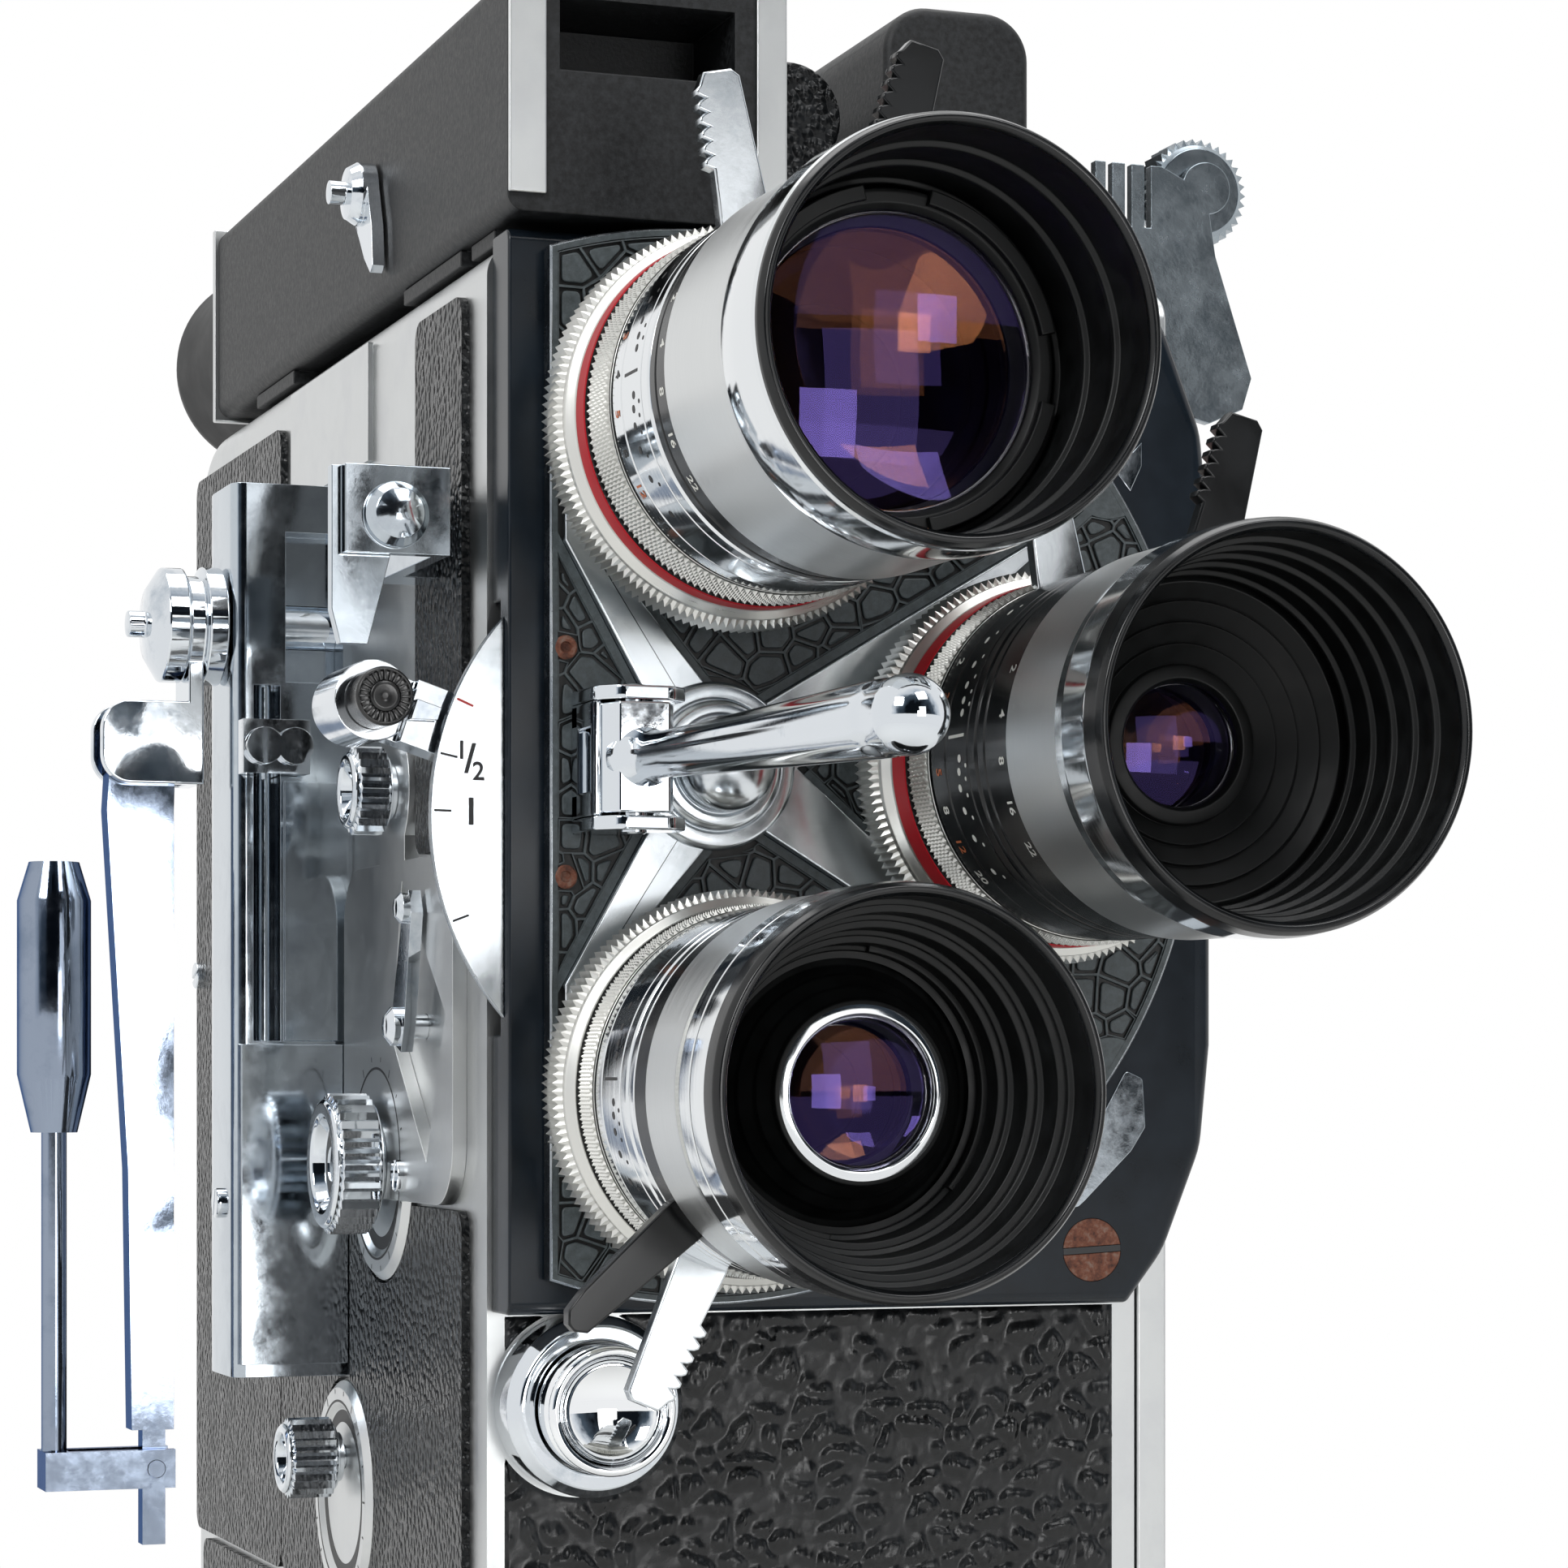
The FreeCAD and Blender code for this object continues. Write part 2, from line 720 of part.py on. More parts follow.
def lever_bracket():
    """Two cheeks and a pin that carry the turret lever."""
    half = d.knuckle_tall / 2 + 0.2
    outline = [(pivot_x - 4, turret_face), (hub_x - d.hub_radius - 0.2, turret_face),
               (hub_x - d.hub_radius - 0.2, pivot_y + 1.5), (hub_x - 4.8, pivot_y + 1),
               (hub_x - 4.8, pivot_y - 1.5), (pivot_x + 3, pivot_y - 3), (pivot_x - 2, pivot_y - 3),
               (pivot_x - 4, pivot_y - 1)]
    cheeks = [slab("cheek_upper", outline, d.cheek_thick, (0, 0, hub_z + half)),
              slab("cheek_lower", outline, d.cheek_thick, (0, 0, hub_z - half - d.cheek_thick))]
    web = box("bracket_web", (pivot_x - 4, hub_x - d.hub_radius - 0.2), (star_face - 1, turret_face),
              (hub_z - half, hub_z + half))
    pin = rod("bracket_pin", d.pin_radius, half * 2 + d.cheek_thick * 2, (pivot_x, pivot_y,
              hub_z - half - d.cheek_thick))
    return fuse("lever_bracket", *cheeks, web, pin)


def turret_lever():
    """The polished handle that turns the turret, tapered, with a ball at its end."""
    barrel = rod("lever_knuckle", d.knuckle_wide / 2, d.knuckle_tall,
                 (pivot_x, pivot_y, hub_z - d.knuckle_tall / 2))
    lean = math.radians(SIZES["grip_lean"])
    toward = Vector(math.sin(lean), -math.cos(lean), 0)
    stem = cone("lever_stem", d.grip_thin, d.grip_thick, d.grip_long, (pivot_x, pivot_y, hub_z),
                Rotation(Vector(0, 0, 1), toward))
    knob = ball("lever_ball", d.grip_thick, (pivot_x + d.grip_long * toward.x,
                                             pivot_y + d.grip_long * toward.y,
                                             hub_z))
    hole = rod("lever_pin_hole", d.pin_radius + d.fit_gap, d.knuckle_tall + 2,
               (pivot_x, pivot_y, hub_z - d.knuckle_tall / 2 - 1))
    return cut("turret_lever", fuse("lever_joined", barrel, stem, knob), hole)


# Distances forward of the turret face along each lens: the focus ring, the bright band behind the
# iris ring, the name ring, the front rim, and the glass with its radius
LENSES = {
    "top": {"focus_back": 14.8, "focus_front": 24.2, "iris_back": 32.2, "iris_front": 37, "name_front": 51.9,
            "lens_front": 61.9, "glass_at": 45.9, "glass_radius": 12.4, "cell_radius": 13.8, "turn": 0},
    "right": {"focus_back": 15.4, "focus_front": 24, "iris_back": 31.4, "iris_front": 38.4,
              "name_front": 49.1,
              "lens_front": 58.6, "glass_at": 37.1, "glass_radius": 5.4, "cell_radius": 13.8, "turn": 0},
    "bottom": {"focus_back": 12.4, "focus_front": 18.6, "iris_back": 26.4, "iris_front": 32,
               "name_front": 40.3,
               "lens_front": 51.3, "glass_at": 38.3, "glass_radius": 6.3, "cell_radius": 8.4, "turn": 145},
}
for lens_name, stations in LENSES.items():
    for row, (station, amount) in enumerate(stations.items()):
        cell = "EFG"[list(LENSES).index(lens_name)] + str(row + 1)
        doc.dims.set(cell, str(amount))
        doc.dims.setAlias(cell, lens_name + "_" + station)
doc.recompute()


def station(lens, name):
    return Size(float(LENSES[lens][name]), "dims." + lens + "_" + name)


def lens_barrel(lens, x, z):
    """Mount, knurled collar, red ring, neck, bright band and the cell that holds the glass."""
    back = station(lens, "focus_back")
    neck_end = station(lens, "iris_front") + 2.7
    glass = station(lens, "glass_at")
    glass_radius = station(lens, "glass_radius")
    cell_radius = station(lens, "cell_radius")
    bore = glass_radius - 1.2
    outline = [
        (bore, -d.stub_long), (d.port_radius - d.fit_gap, -d.stub_long), (d.port_radius - d.fit_gap, 0),
        (d.mount_radius, 0), (d.mount_radius, d.knurl_back), (d.knurl_radius, d.knurl_back),
        (d.knurl_radius, d.knurl_front), (d.knurl_radius - 0.6, d.knurl_front + 0.4),
        (d.knurl_radius - 0.6, d.shoulder_front - 0.6), (d.ring_radius, d.shoulder_front),
        (d.ring_radius, back - 0.2), (d.neck_radius, back - 0.2),
        (d.neck_radius, station(lens, "focus_front") + 0.2), (d.band_radius,
                                                              station(lens, "focus_front") + 0.2),
        (d.band_radius, station(lens, "iris_back") - 0.2), (d.neck_radius, station(lens, "iris_back") - 0.2),
        (d.neck_radius, neck_end),
    ]
    if LENSES[lens]["glass_at"] + 0.8 > LENSES[lens]["iris_front"] + 2.7:
        outline += [(cell_radius, neck_end), (cell_radius, glass + 0.8), (glass_radius, glass + 0.8)]
    else:
        outline += [(cell_radius, neck_end), (cell_radius - 2, neck_end - 1),
                    (glass_radius + 2.6, glass + 1.6),
                    (glass_radius, glass + 0.8)]
    outline += [(glass_radius, glass - 3), (bore, glass - 3)]
    return turned("lens_barrel_" + lens, outline, (x, turret_face, z), TO_FRONT)


def front_glass(lens, x, z):
    glass = station(lens, "glass_at")
    radius = station(lens, "glass_radius") - 0.02
    outline = [(0, glass - 2.4), (radius * 0.6, glass - 2.5), (radius, glass - 3), (radius, glass),
               (radius * 0.75, glass + 0.35), (radius * 0.4, glass + 0.6), (0, glass + 0.7)]
    return turned("glass_" + lens, outline, (x, turret_face, z), TO_FRONT)


def ring_with_lever(name, x, z, back, front_at, radius, angle, thin, lean=0):
    """A turning ring on the neck with a finger lever that stands out from it."""
    inner = d.neck_radius + d.fit_gap
    ring = turned(name + "_ring", [(inner, back), (radius, back), (radius, front_at), (inner, front_at)],
                  (x, turret_face, z), TO_FRONT)
    half = d.lever_wide / 2
    lever = slab(name + "_lever", [(-half, radius - 0.8), (half, radius - 0.8), (half, d.lever_reach - 3),
                                   (half - thin, d.lever_reach), (thin - half, d.lever_reach),
                                   (-half, d.lever_reach - 3)],
                 d.lever_thick, (x, turret_face - (back + front_at) / 2 + d.lever_thick / 2, z),
                 TO_FRONT * Rotation(Vector(0, 0, 1), angle))
    return fuse(name, ring, lever)


def lens_rings(lens, x, z):
    turn = LENSES[lens]["turn"]
    focus = ring_with_lever("focus_ring_" + lens, x, z, station(lens, "focus_back"),
                            station(lens, "focus_front"), d.ring_radius, turn + 12, 0.4)
    iris = ring_with_lever("iris_ring_" + lens, x, z, station(lens, "iris_back"),
                           station(lens, "iris_front"), d.ring_radius - 0.3, turn - 14, 0.9)
    return focus, iris


def lens_hood(lens, x, z):
    """The bright name ring and the hood in front of it, with a stepped bore down to the cell."""
    inner = d.neck_radius + d.fit_gap
    start = station(lens, "iris_front") + 0.2
    neck_end = station(lens, "iris_front") + 2.8
    name_front = station(lens, "name_front")
    rim = station(lens, "lens_front")
    mouth = d.hood_radius - d.hood_wall
    outline = [
        (inner, start), (d.name_radius, start), (d.name_radius, name_front),
        (d.hood_radius, name_front + 2.4),
        (d.hood_radius + 0.15, name_front + 4.4), (d.hood_radius, rim - 1), (d.hood_radius - 0.4, rim),
        (mouth + 0.4, rim), (mouth, rim - 0.8),
    ]
    outline += bore_steps(lens, mouth, rim)
    outline += [(inner, neck_end)]
    return turned("lens_hood_" + lens, outline, (x, turret_face, z), TO_FRONT)


def bore_steps(lens, mouth, rim):
    """Corners of the baffle rings inside a hood, from the rim to the cell."""
    glass = station(lens, "glass_at")
    cell = station(lens, "cell_radius") + 0.1
    neck_end = station(lens, "iris_front") + 2.8
    foot = neck_end
    count = 5
    first = rim - 2.6
    corners = [(mouth, first)]
    for number in range(1, count + 1):
        radius = mouth - (mouth - cell) * (number / count)
        floor = first - (first - foot) * (number / (count + 1))
        corners.append((radius, floor + 0.01))
        if number < count:
            corners.append((radius, first - (first - foot) * ((number + 0.98) / (count + 1))))
    corners.append((cell, neck_end))
    return corners


# Release and shutter lever

def release_collar():
    inner = d.cup_radius + d.fit_gap
    outline = [(inner, 0), (d.collar_radius, 0), (d.collar_radius, d.collar_proud - 1.4),
               (d.collar_radius - 0.9, d.collar_proud), (inner, d.collar_proud)]
    return turned("release_collar", outline, (release_x, front, release_z), TO_FRONT)


def release_button():
    """A dished button on a stem that goes in through the case."""
    r = d.cup_radius
    low = d.release_travel + 0.3
    top = d.cup_proud
    outline = [(0, low), (r, low), (r, top - 1), (r - 0.5, top), (r - 1.3, top), (r * 0.62, top - 1.9),
               (r * 0.3, top - 2.7), (0, top - 3)]
    cup = turned("release_cup", outline, (release_x, front, release_z), TO_FRONT)
    stem = rod("release_stem", d.pin_radius, d.case_wall + 8 + low, (release_x, front - low, release_z),
               TO_REAR)
    return fuse("release_button", cup, stem)


knob_angle = 180 - SIZES["arm_rise"]
knob_x = arm_x + d.arm_radius * math.cos(math.radians(knob_angle))
knob_z = arm_z + d.arm_radius * math.sin(math.radians(knob_angle))


def shutter_lever():
    """A flat arm behind the scale, with a pointer and a boss that carries the black knob."""
    turn = TO_FRONT * Rotation(Vector(0, 0, 1), knob_angle)
    at_knob = d.arm_radius - d.black_knob_radius - 0.4
    arm = slab("shutter_arm", [(d.arm_inner, -3), (at_knob, -3), (at_knob, 3), (d.arm_inner, 3)],
               d.arm_thick, (arm_x, front - d.run_gap, arm_z), turn)
    back = slab("shutter_back", [(25.6, -3), (d.arm_radius, -3), (d.arm_radius, 3), (25.6, 3)], 3.2,
                (arm_x, knob_back + 3.4, arm_z), turn)
    pointer = slab("shutter_pointer", [(d.scale_radius + 0.6, -1), (at_knob, -1), (at_knob, 1),
                                       (d.scale_radius + 0.6, 0.2)], 2, (arm_x, arm_front + 0.4, arm_z), turn)
    boss = turned("shutter_boss", [(0, -9), (d.boss_radius, -9), (d.boss_radius, 0), (1.5, 0), (1.5, 3.4),
                                   (0, 3.4)],
                  (knob_x, knob_back, knob_z), TO_FRONT)
    return fuse("shutter_lever", arm, back, pointer, boss, refine=False)


knob_back = front - 0.9


def shutter_knob():
    r = d.black_knob_radius
    outline = [(1.5 + d.fit_gap, 0.1), (r - 0.2, 0.1), (r, 0.4), (r, 4.1), (r - 0.3, 4.4), (0, 4.4), (0, 3.6),
               (1.5 + d.fit_gap, 3.6)]
    return turned("shutter_knob", outline, (knob_x, knob_back, knob_z), TO_FRONT)


# Fade unit

fader_x = left - d.fader_proud
fader_top = hub_z + d.fader_up
channel_x = fader_x + 3.6


def fader_housing():
    """A box on the left side with a screw channel down its front and a bore for the crank."""
    block = box("fader_block", (fader_x, left), (fader_y, fader_y + d.fader_deep),
                (hub_z - d.fader_down, fader_top))
    shape = rounded("fader_shape", block, SIZES["fader_corner"], all_of(
        runs_along("z"), beyond("x", left - 1, -1), beyond("y", fader_y + 1)))
    shape = rounded("fader_front", shape, 1.5, all_of(
        runs_along("z"), beyond("x", left - 1, -1), beyond("y", fader_y + 1, -1)))
    channel = box("fader_channel", (channel_x - 1.4, channel_x + 1.4), (fader_y - 1, fader_y + 3.2),
                  (hub_z - 25, hub_z + 12))
    window = box("fader_window", (fader_x + 5.6, left - 1), (fader_y - 1, fader_y + 4),
                 (hub_z + 12.4, hub_z + 28))
    bore = rod("fader_bore", d.crank_shaft + d.fit_gap, d.fader_proud + 2, (fader_x - 1, crank_y, crank_z),
               TO_DOOR)
    plate = box("fader_plate", (fader_x + 5.4, left - 0.6), (fader_y - 0.5, fader_y + 1),
                (hub_z - 25, hub_z + 2))
    lower = box("fader_lower", (fader_x + 0.6, left - 0.6), (fader_y - 1.6, fader_y + 1),
                (fader_low + 1.4, hub_z - 25.4))
    screw = rod("fader_screw", d.rod_radius, 39, (channel_x, fader_y + 1.6, hub_z - 26))
    return fuse("fader_housing", cut("fader_open", shape, channel, window, bore), plate, lower, screw)


def fader_carriage():
    """The nut that runs on the screw, with two screw lugs in front of the housing."""
    low = hub_z + 2.6
    head = box("carriage_head", (channel_x - 3.2, channel_x + 3.8), (fader_y - 3.4, fader_y - 0.8),
               (low, low + 5.6))
    tongue = box("carriage_tongue", (channel_x - 1.1, channel_x + 1.1), (fader_y - 1, fader_y + 2.9),
                 (low, low + 5.6))
    lugs = [rod("carriage_lug_" + str(number), 1.9, 1.4, (channel_x + shift, fader_y - 3.3, low + 2.8),
                TO_FRONT)
            for number, shift in enumerate([-1.2, 2])]
    hole = rod("carriage_hole", d.rod_radius + d.fit_gap, 8, (channel_x, fader_y + 1.6, low - 1))
    return cut("fader_carriage", fuse("carriage_joined", head, tongue, *lugs), hole)


def fader_bracket():
    """A bent ear with a domed screw, standing off the left side, and the link that hangs from it."""
    low = hub_z + 19.1
    high = hub_z + 27.2
    ear = box("ear_front", (hub_x - 33.5, hub_x - 23.6), (front - 3, front - 1.5), (low, high))
    strip = box("ear_strip", (hub_x - 25.1, hub_x - 23.6), (front - 1.6, front + 20), (low, high))
    foot = box("ear_foot", (hub_x - 25, skin_x), (front + 14, front + 20), (low, high))
    link = slab("ear_link", [(-34.4, 27.2), (-34.4, 14), (-33.6, 10.9), (-31, 10.9), (-28.9, 19),
                             (-28.9, 27.2)],
                1.5, (hub_x, front, hub_z), TO_FRONT)
    screw = turned("ear_screw", [(0, 0), (3, 0), (3, 0.8), (2.3, 1.9), (1.2, 2.4), (0, 2.5)],
                   (hub_x - 28.8, front - 3, hub_z + 22.6), TO_FRONT)
    return fuse("fader_bracket", ear, strip, foot, link, screw)


# Winding crank

shoulder_x = fader_x - d.run_gap
plate_x = shoulder_x - 2.2
block_z = crank_z - 12.5
pin_x = plate_x - 6


def crank_hub():
    """Shaft, rings and the short plate with the block that the arm folds on."""
    shaft = rod("crank_shaft_rod", d.crank_shaft, shaft_end - shoulder_x, (shoulder_x, crank_y, crank_z),
                TO_DOOR)
    r = d.crank_hub_radius
    rings = turned("crank_rings", [(0, 0), (r, 0), (r, 2), (r - 1, 2.2), (r - 1, 3.8), (r - 0.2, 4),
                                   (r - 0.2, 6.2),
                                   (r - 2.4, 7.6), (1.4, 7.8), (1.4, 9.6), (0, 9.8)],
                   (shoulder_x, crank_y, crank_z), TO_LEFT)
    plate = box("crank_plate", (plate_x - 1.6, plate_x), (crank_y - d.arm_wide / 2, crank_y + d.arm_wide / 2),
                (block_z - 4.3, crank_z))
    block = box("crank_block", (plate_x - 10.6, plate_x - 1.6), (crank_y - d.arm_wide / 2,
                crank_y + d.arm_wide / 2), (block_z - 4.3, block_z + 4.3))
    block = rounded("crank_block_round", block, 3, all_of(runs_along("y"), beyond("x", plate_x - 5, -1)))
    slot = box("crank_slot", (plate_x - 11, plate_x - 1.6), (crank_y - 2, crank_y + 2),
               (block_z - 5, block_z + 5))
    pin = rod("crank_pin", d.pin_radius, d.arm_wide, (pin_x, crank_y + d.arm_wide / 2, block_z), TO_FRONT)
    return fuse("crank_hub", shaft, rings, plate, cut("crank_cheeks", block, slot), pin)


shaft_end = left + d.case_wall + 3


def crank_arm():
    """The tapered bar that folds out, with a tongue at its end for the grip."""
    knuckle = rod("arm_knuckle", 3.4, 3.4, (pin_x, crank_y + 1.7, block_z), TO_FRONT)
    outline = [(-3.4, 0), (-3.8, -7), (-1.6, -d.arm_long * 0.62), (-1.2, -d.arm_long), (3.2, -d.arm_long),
               (3.4, -d.arm_long * 0.62), (3.2, -7), (3.4, 0)]
    bar = slab("arm_bar", outline, 3.4, (pin_x, crank_y + 1.7, block_z), TO_FRONT)
    tongue = box("arm_tongue", (pin_x, pin_x + 2.4), (crank_y - 1.2, crank_y + 1.2),
                 (block_z - d.arm_long - 12, block_z - d.arm_long))
    grip_pin = rod("arm_grip_pin", d.grip_pin_radius, 5.4, (pin_x + 1.2, crank_y + 2.7, grip_z), TO_FRONT)
    hole = rod("arm_pin_hole", d.pin_radius + d.fit_gap, 6, (pin_x, crank_y + 3, block_z), TO_FRONT)
    return cut("crank_arm", fuse("arm_joined", knuckle, bar, tongue, grip_pin), hole)


grip_z = block_z - d.arm_long - 4
grip_x = pin_x - 9


def crank_grip():
    """A cranked rod with a tapered handle, folded back along the arm."""
    outline = [(pin_x + 3.2 - grip_x, -2), (pin_x + 3.2 - grip_x, 2), (-1.3, 2), (-1.3, -2)]
    sides = [slab("grip_side_" + str(number), outline, 1.1, (grip_x, crank_y + y, grip_z), TO_FRONT)
             for number, y in enumerate([-1.5, 2.6])]
    web = box("grip_web", (grip_x - 1.3, grip_x + 1.3), (crank_y - 2.6, crank_y + 2.6),
              (grip_z - 2, grip_z + 2))
    stem = rod("grip_stem", d.grip_rod, handle_z - grip_z, (grip_x, crank_y, grip_z))
    sleeve = turned("grip_sleeve", [(0, 0), (2.4, 0), (d.grip_radius, 6), (d.grip_radius, d.handle_long - 4),
                                    (d.grip_radius - 1.2, d.handle_long), (0, d.handle_long)],
                    (grip_x, crank_y, handle_z - 1))
    holes = rod("grip_pin_hole", d.grip_pin_radius + d.fit_gap, 7, (pin_x + 1.2, crank_y + 3.5, grip_z),
                TO_FRONT)
    return cut("crank_grip", fuse("grip_joined", *sides, web, stem, sleeve), holes)


handle_z = grip_z + d.sleeve_above


# Knobs on the left side

def side_knob(name, y, z, radius, long, stand):
    """A knurled knob on a stem that goes in through the case."""
    outline = [(0, stand), (radius * 0.6, stand), (radius * 0.6, stand + 0.6), (radius - 0.4, stand + 0.6),
               (radius, stand + 1), (radius, stand + long - 0.5), (radius - 0.5, stand + long),
               (radius * 0.55, stand + long), (radius * 0.45, stand + long - 1.2), (0, stand + long - 1.2)]
    head = turned(name + "_head", outline, (left, y, z), TO_LEFT)
    stem = rod(name + "_stem", d.pin_radius, stand + d.case_wall + 2.5, (left - stand, y, z), TO_DOOR)
    return fuse(name, head, stem)


def selector_lever():
    """A small strap on the left side with a screw at each end, one of them its pivot."""
    long = d.selector_long
    strap = slab("selector_strap", [(-2, -2), (2, -2), (2.4, 1), (1.6, long), (0, long + 1.8), (-1.6, long),
                                    (-2.4, 1)], 1.2, (left - d.selector_proud, selector_y, selector_z),
                 FROM_SIDE * Rotation(Vector(0, 0, 1), SIZES["selector_lean"]))
    lean = math.radians(SIZES["selector_lean"])
    foot = turned("selector_foot", [(0, 0), (1.9, 0), (1.9, 0.7), (1.1, 1.3), (0, 1.4)],
                  (left - d.selector_proud, selector_y, selector_z), TO_LEFT)
    tip = turned("selector_tip", [(0, 0), (1.5, 0), (1.5, 0.7), (0.9, 1.2), (0, 1.3)],
                 (left - d.selector_proud, selector_y - long * math.sin(lean),
                  selector_z + long * math.cos(lean)), TO_LEFT)
    stem = rod("selector_stem", d.pin_radius, d.case_wall + d.selector_proud + 2.6,
               (left - d.selector_proud, selector_y, selector_z), TO_DOOR)
    return fuse("selector_lever", strap, foot, tip, stem)


def case_screws():
    """Loose-standing screw heads: one large slotted screw in front, small ones on the left side."""
    big = slotted("screw_front", hub_x + 39.6, plate_face, hub_z - 45.4, 3.1, TO_FRONT)
    small = [turned("screw_side_" + str(number), [(0, 0), (1.6, 0), (1.6, 0.6), (0.9, 1.3), (0, 1.5)],
                    (x, y, z), TO_LEFT)
             for number, (x, y, z) in enumerate([
                 (skin_x, rear - 6, hub_z - 16.5),
                 (fader_x, fader_y + 6, hub_z - 42),
                 (left - d.plate_proud, front + 46, hub_z - 38.5),
                 (left - d.plate_proud, front + 26.5, hub_z - 38.5),
                 (skin_x, front + 10, case_low + 12),
                 (skin_x, rear - 16, case_low + 12)])]
    return bundle("case_screws", big, *small)


def slotted(name, x, y, z, radius, turn):
    head = rod(name + "_head", radius, 0.5, (x, y, z), turn)
    slot = box(name + "_slot", (x - radius, x + radius), (y - 1, y - 0.2), (z - 0.35, z + 0.35))
    return cut(name, head, slot)


# Finders and handle

finder_low = case_top + d.finder_foot
finder_front = front - d.finder_ahead
finder_rear = finder_front + d.finder_deep
finder_left = left - 0.3
finder_right = finder_left + d.finder_wide
finder_top = finder_low + d.finder_tall


def finder_housing():
    block = box("finder_block", (finder_left, finder_right), (finder_front, finder_rear),
                (finder_low, finder_top))
    shape = rounded("finder_shape", block, SIZES["finder_edge"], runs_along("y"))
    window = box("finder_window", (finder_left + 5, finder_right - 5), (finder_front - 1, finder_front + 12),
                 (finder_top - 9, finder_top - 2.4))
    shims = [box("finder_shim_" + str(number), (left + 0.6, finder_right - 2), (front + start, front + end),
                 (case_top, finder_low)) for number, (start, end) in enumerate([(11.4, 33), (81.8, 100.6)])]
    foot = box("finder_foot_block", (left + 1, finder_right - 1), (front + 1, front + 9),
               (case_top, finder_low))
    return fuse("finder_housing", cut("finder_open", shape, window), foot, *shims)


def finder_trim():
    """Bright strips on the front corners and a band round the rear end."""
    y = (finder_front - 0.5, finder_front)
    z = (finder_low + 1.6, finder_top)
    strips = [box("finder_strip_left", (finder_left, finder_left + 3.6), y, z),
              box("finder_strip_right", (finder_right - 3, finder_right), y, z)]
    band = box("finder_band", (finder_left - 0.4, finder_right + 0.4), (finder_rear, finder_rear + 1.4),
               (finder_low - 0.4, finder_top + 0.4))
    inside = rod("finder_band_hole", d.eyecup_radius - 2, 3, (eye_x, finder_rear - 0.5, eye_z), TO_REAR)
    return bundle("finder_trim", *strips, cut("finder_band_open", band, inside))


eye_x = (finder_left + finder_right) / 2
eye_z = (finder_low + finder_top) / 2


def finder_eyecup():
    r = d.eyecup_radius
    deep = d.eyecup_deep
    outline = [(4, 0), (r - 1, 0), (r - 0.6, deep * 0.55), (r, deep * 0.75), (r + 0.5, deep * 0.9),
               (r - 0.4, deep), (r - 2.4, deep), (r - 3.4, deep * 0.85), (r - 5, deep * 0.5),
               (4, deep * 0.25)]
    return turned("finder_eyecup", outline, (eye_x, finder_rear + 1.4, eye_z), TO_REAR)


lever_y = front + 41.3
lever_z = hub_z + 61.4


def finder_lever():
    """A small teardrop lever on the left of the finder."""
    boss = turned("finder_boss", [(0, 0.3), (3.2, 0.3), (3.2, 2), (2.6, 3), (1.2, 3.2), (1.2, 4.8), (0, 5)],
                  (finder_left, lever_y, lever_z), TO_LEFT)
    tail = slab("finder_tail", [(-3.1, 0), (3.1, 0), (1.8, -7), (0.6, -9.8), (-0.6, -9.8), (-2.2, -6)], 1.3,
                (finder_left - 1.6, lever_y, lever_z), FROM_SIDE * Rotation(Vector(0, 0, 1), -30))
    return fuse("finder_lever", boss, tail)


def reflex_housing():
    y = (front + d.reflex_back, front + d.reflex_back + d.reflex_deep)
    block = box("reflex_block", (reflex_x, reflex_x + d.reflex_wide), y, (case_top, case_top + d.reflex_tall))
    shape = rounded("reflex_shape", block, SIZES["reflex_round"],
                    all_of(runs_along("y"), beyond("z", case_top + 5)))
    return rounded("reflex_housing", shape, SIZES["reflex_edge"], beyond("z", case_top + 5))


def reflex_eyepiece():
    r = d.ocular_radius
    deep = d.ocular_deep
    outline = [(r - 3.4, 0.3), (r - 1, 0.3), (r - 1, deep * 0.25), (r - 0.2, deep * 0.28),
               (r - 0.2, deep * 0.5),
               (r - 1.2, deep * 0.55), (r - 0.6, deep * 0.8), (r, deep), (r - 1.8, deep),
               (r - 3.4, deep * 0.8)]
    return turned("reflex_eyepiece", outline,
                  (reflex_x + d.reflex_wide / 2, front + d.reflex_back + d.reflex_deep,
                   case_top + d.reflex_tall / 2 + 4),
                  TO_REAR)


def carrying_handle():
    """A round strap handle on two posts between the finders."""
    x = hub_x + d.bar_right
    z = case_top + d.bar_above
    first = front + d.post_back
    span = d.post_apart
    strap = rod("handle_strap", d.bar_radius, span + d.post_deep, (x, first, z), TO_REAR)
    posts = []
    for number in range(2):
        y = first + number * span
        posts.append(box("handle_post_" + str(number), (x - d.post_wide / 2, x + d.post_wide / 2),
                         (y, y + d.post_deep), (case_top, z)))
        posts.append(rod("handle_disc_" + str(number), d.bar_radius + 0.9, d.post_deep, (x, y, z), TO_REAR))
    return fuse("carrying_handle", strap, *posts)


# Door side

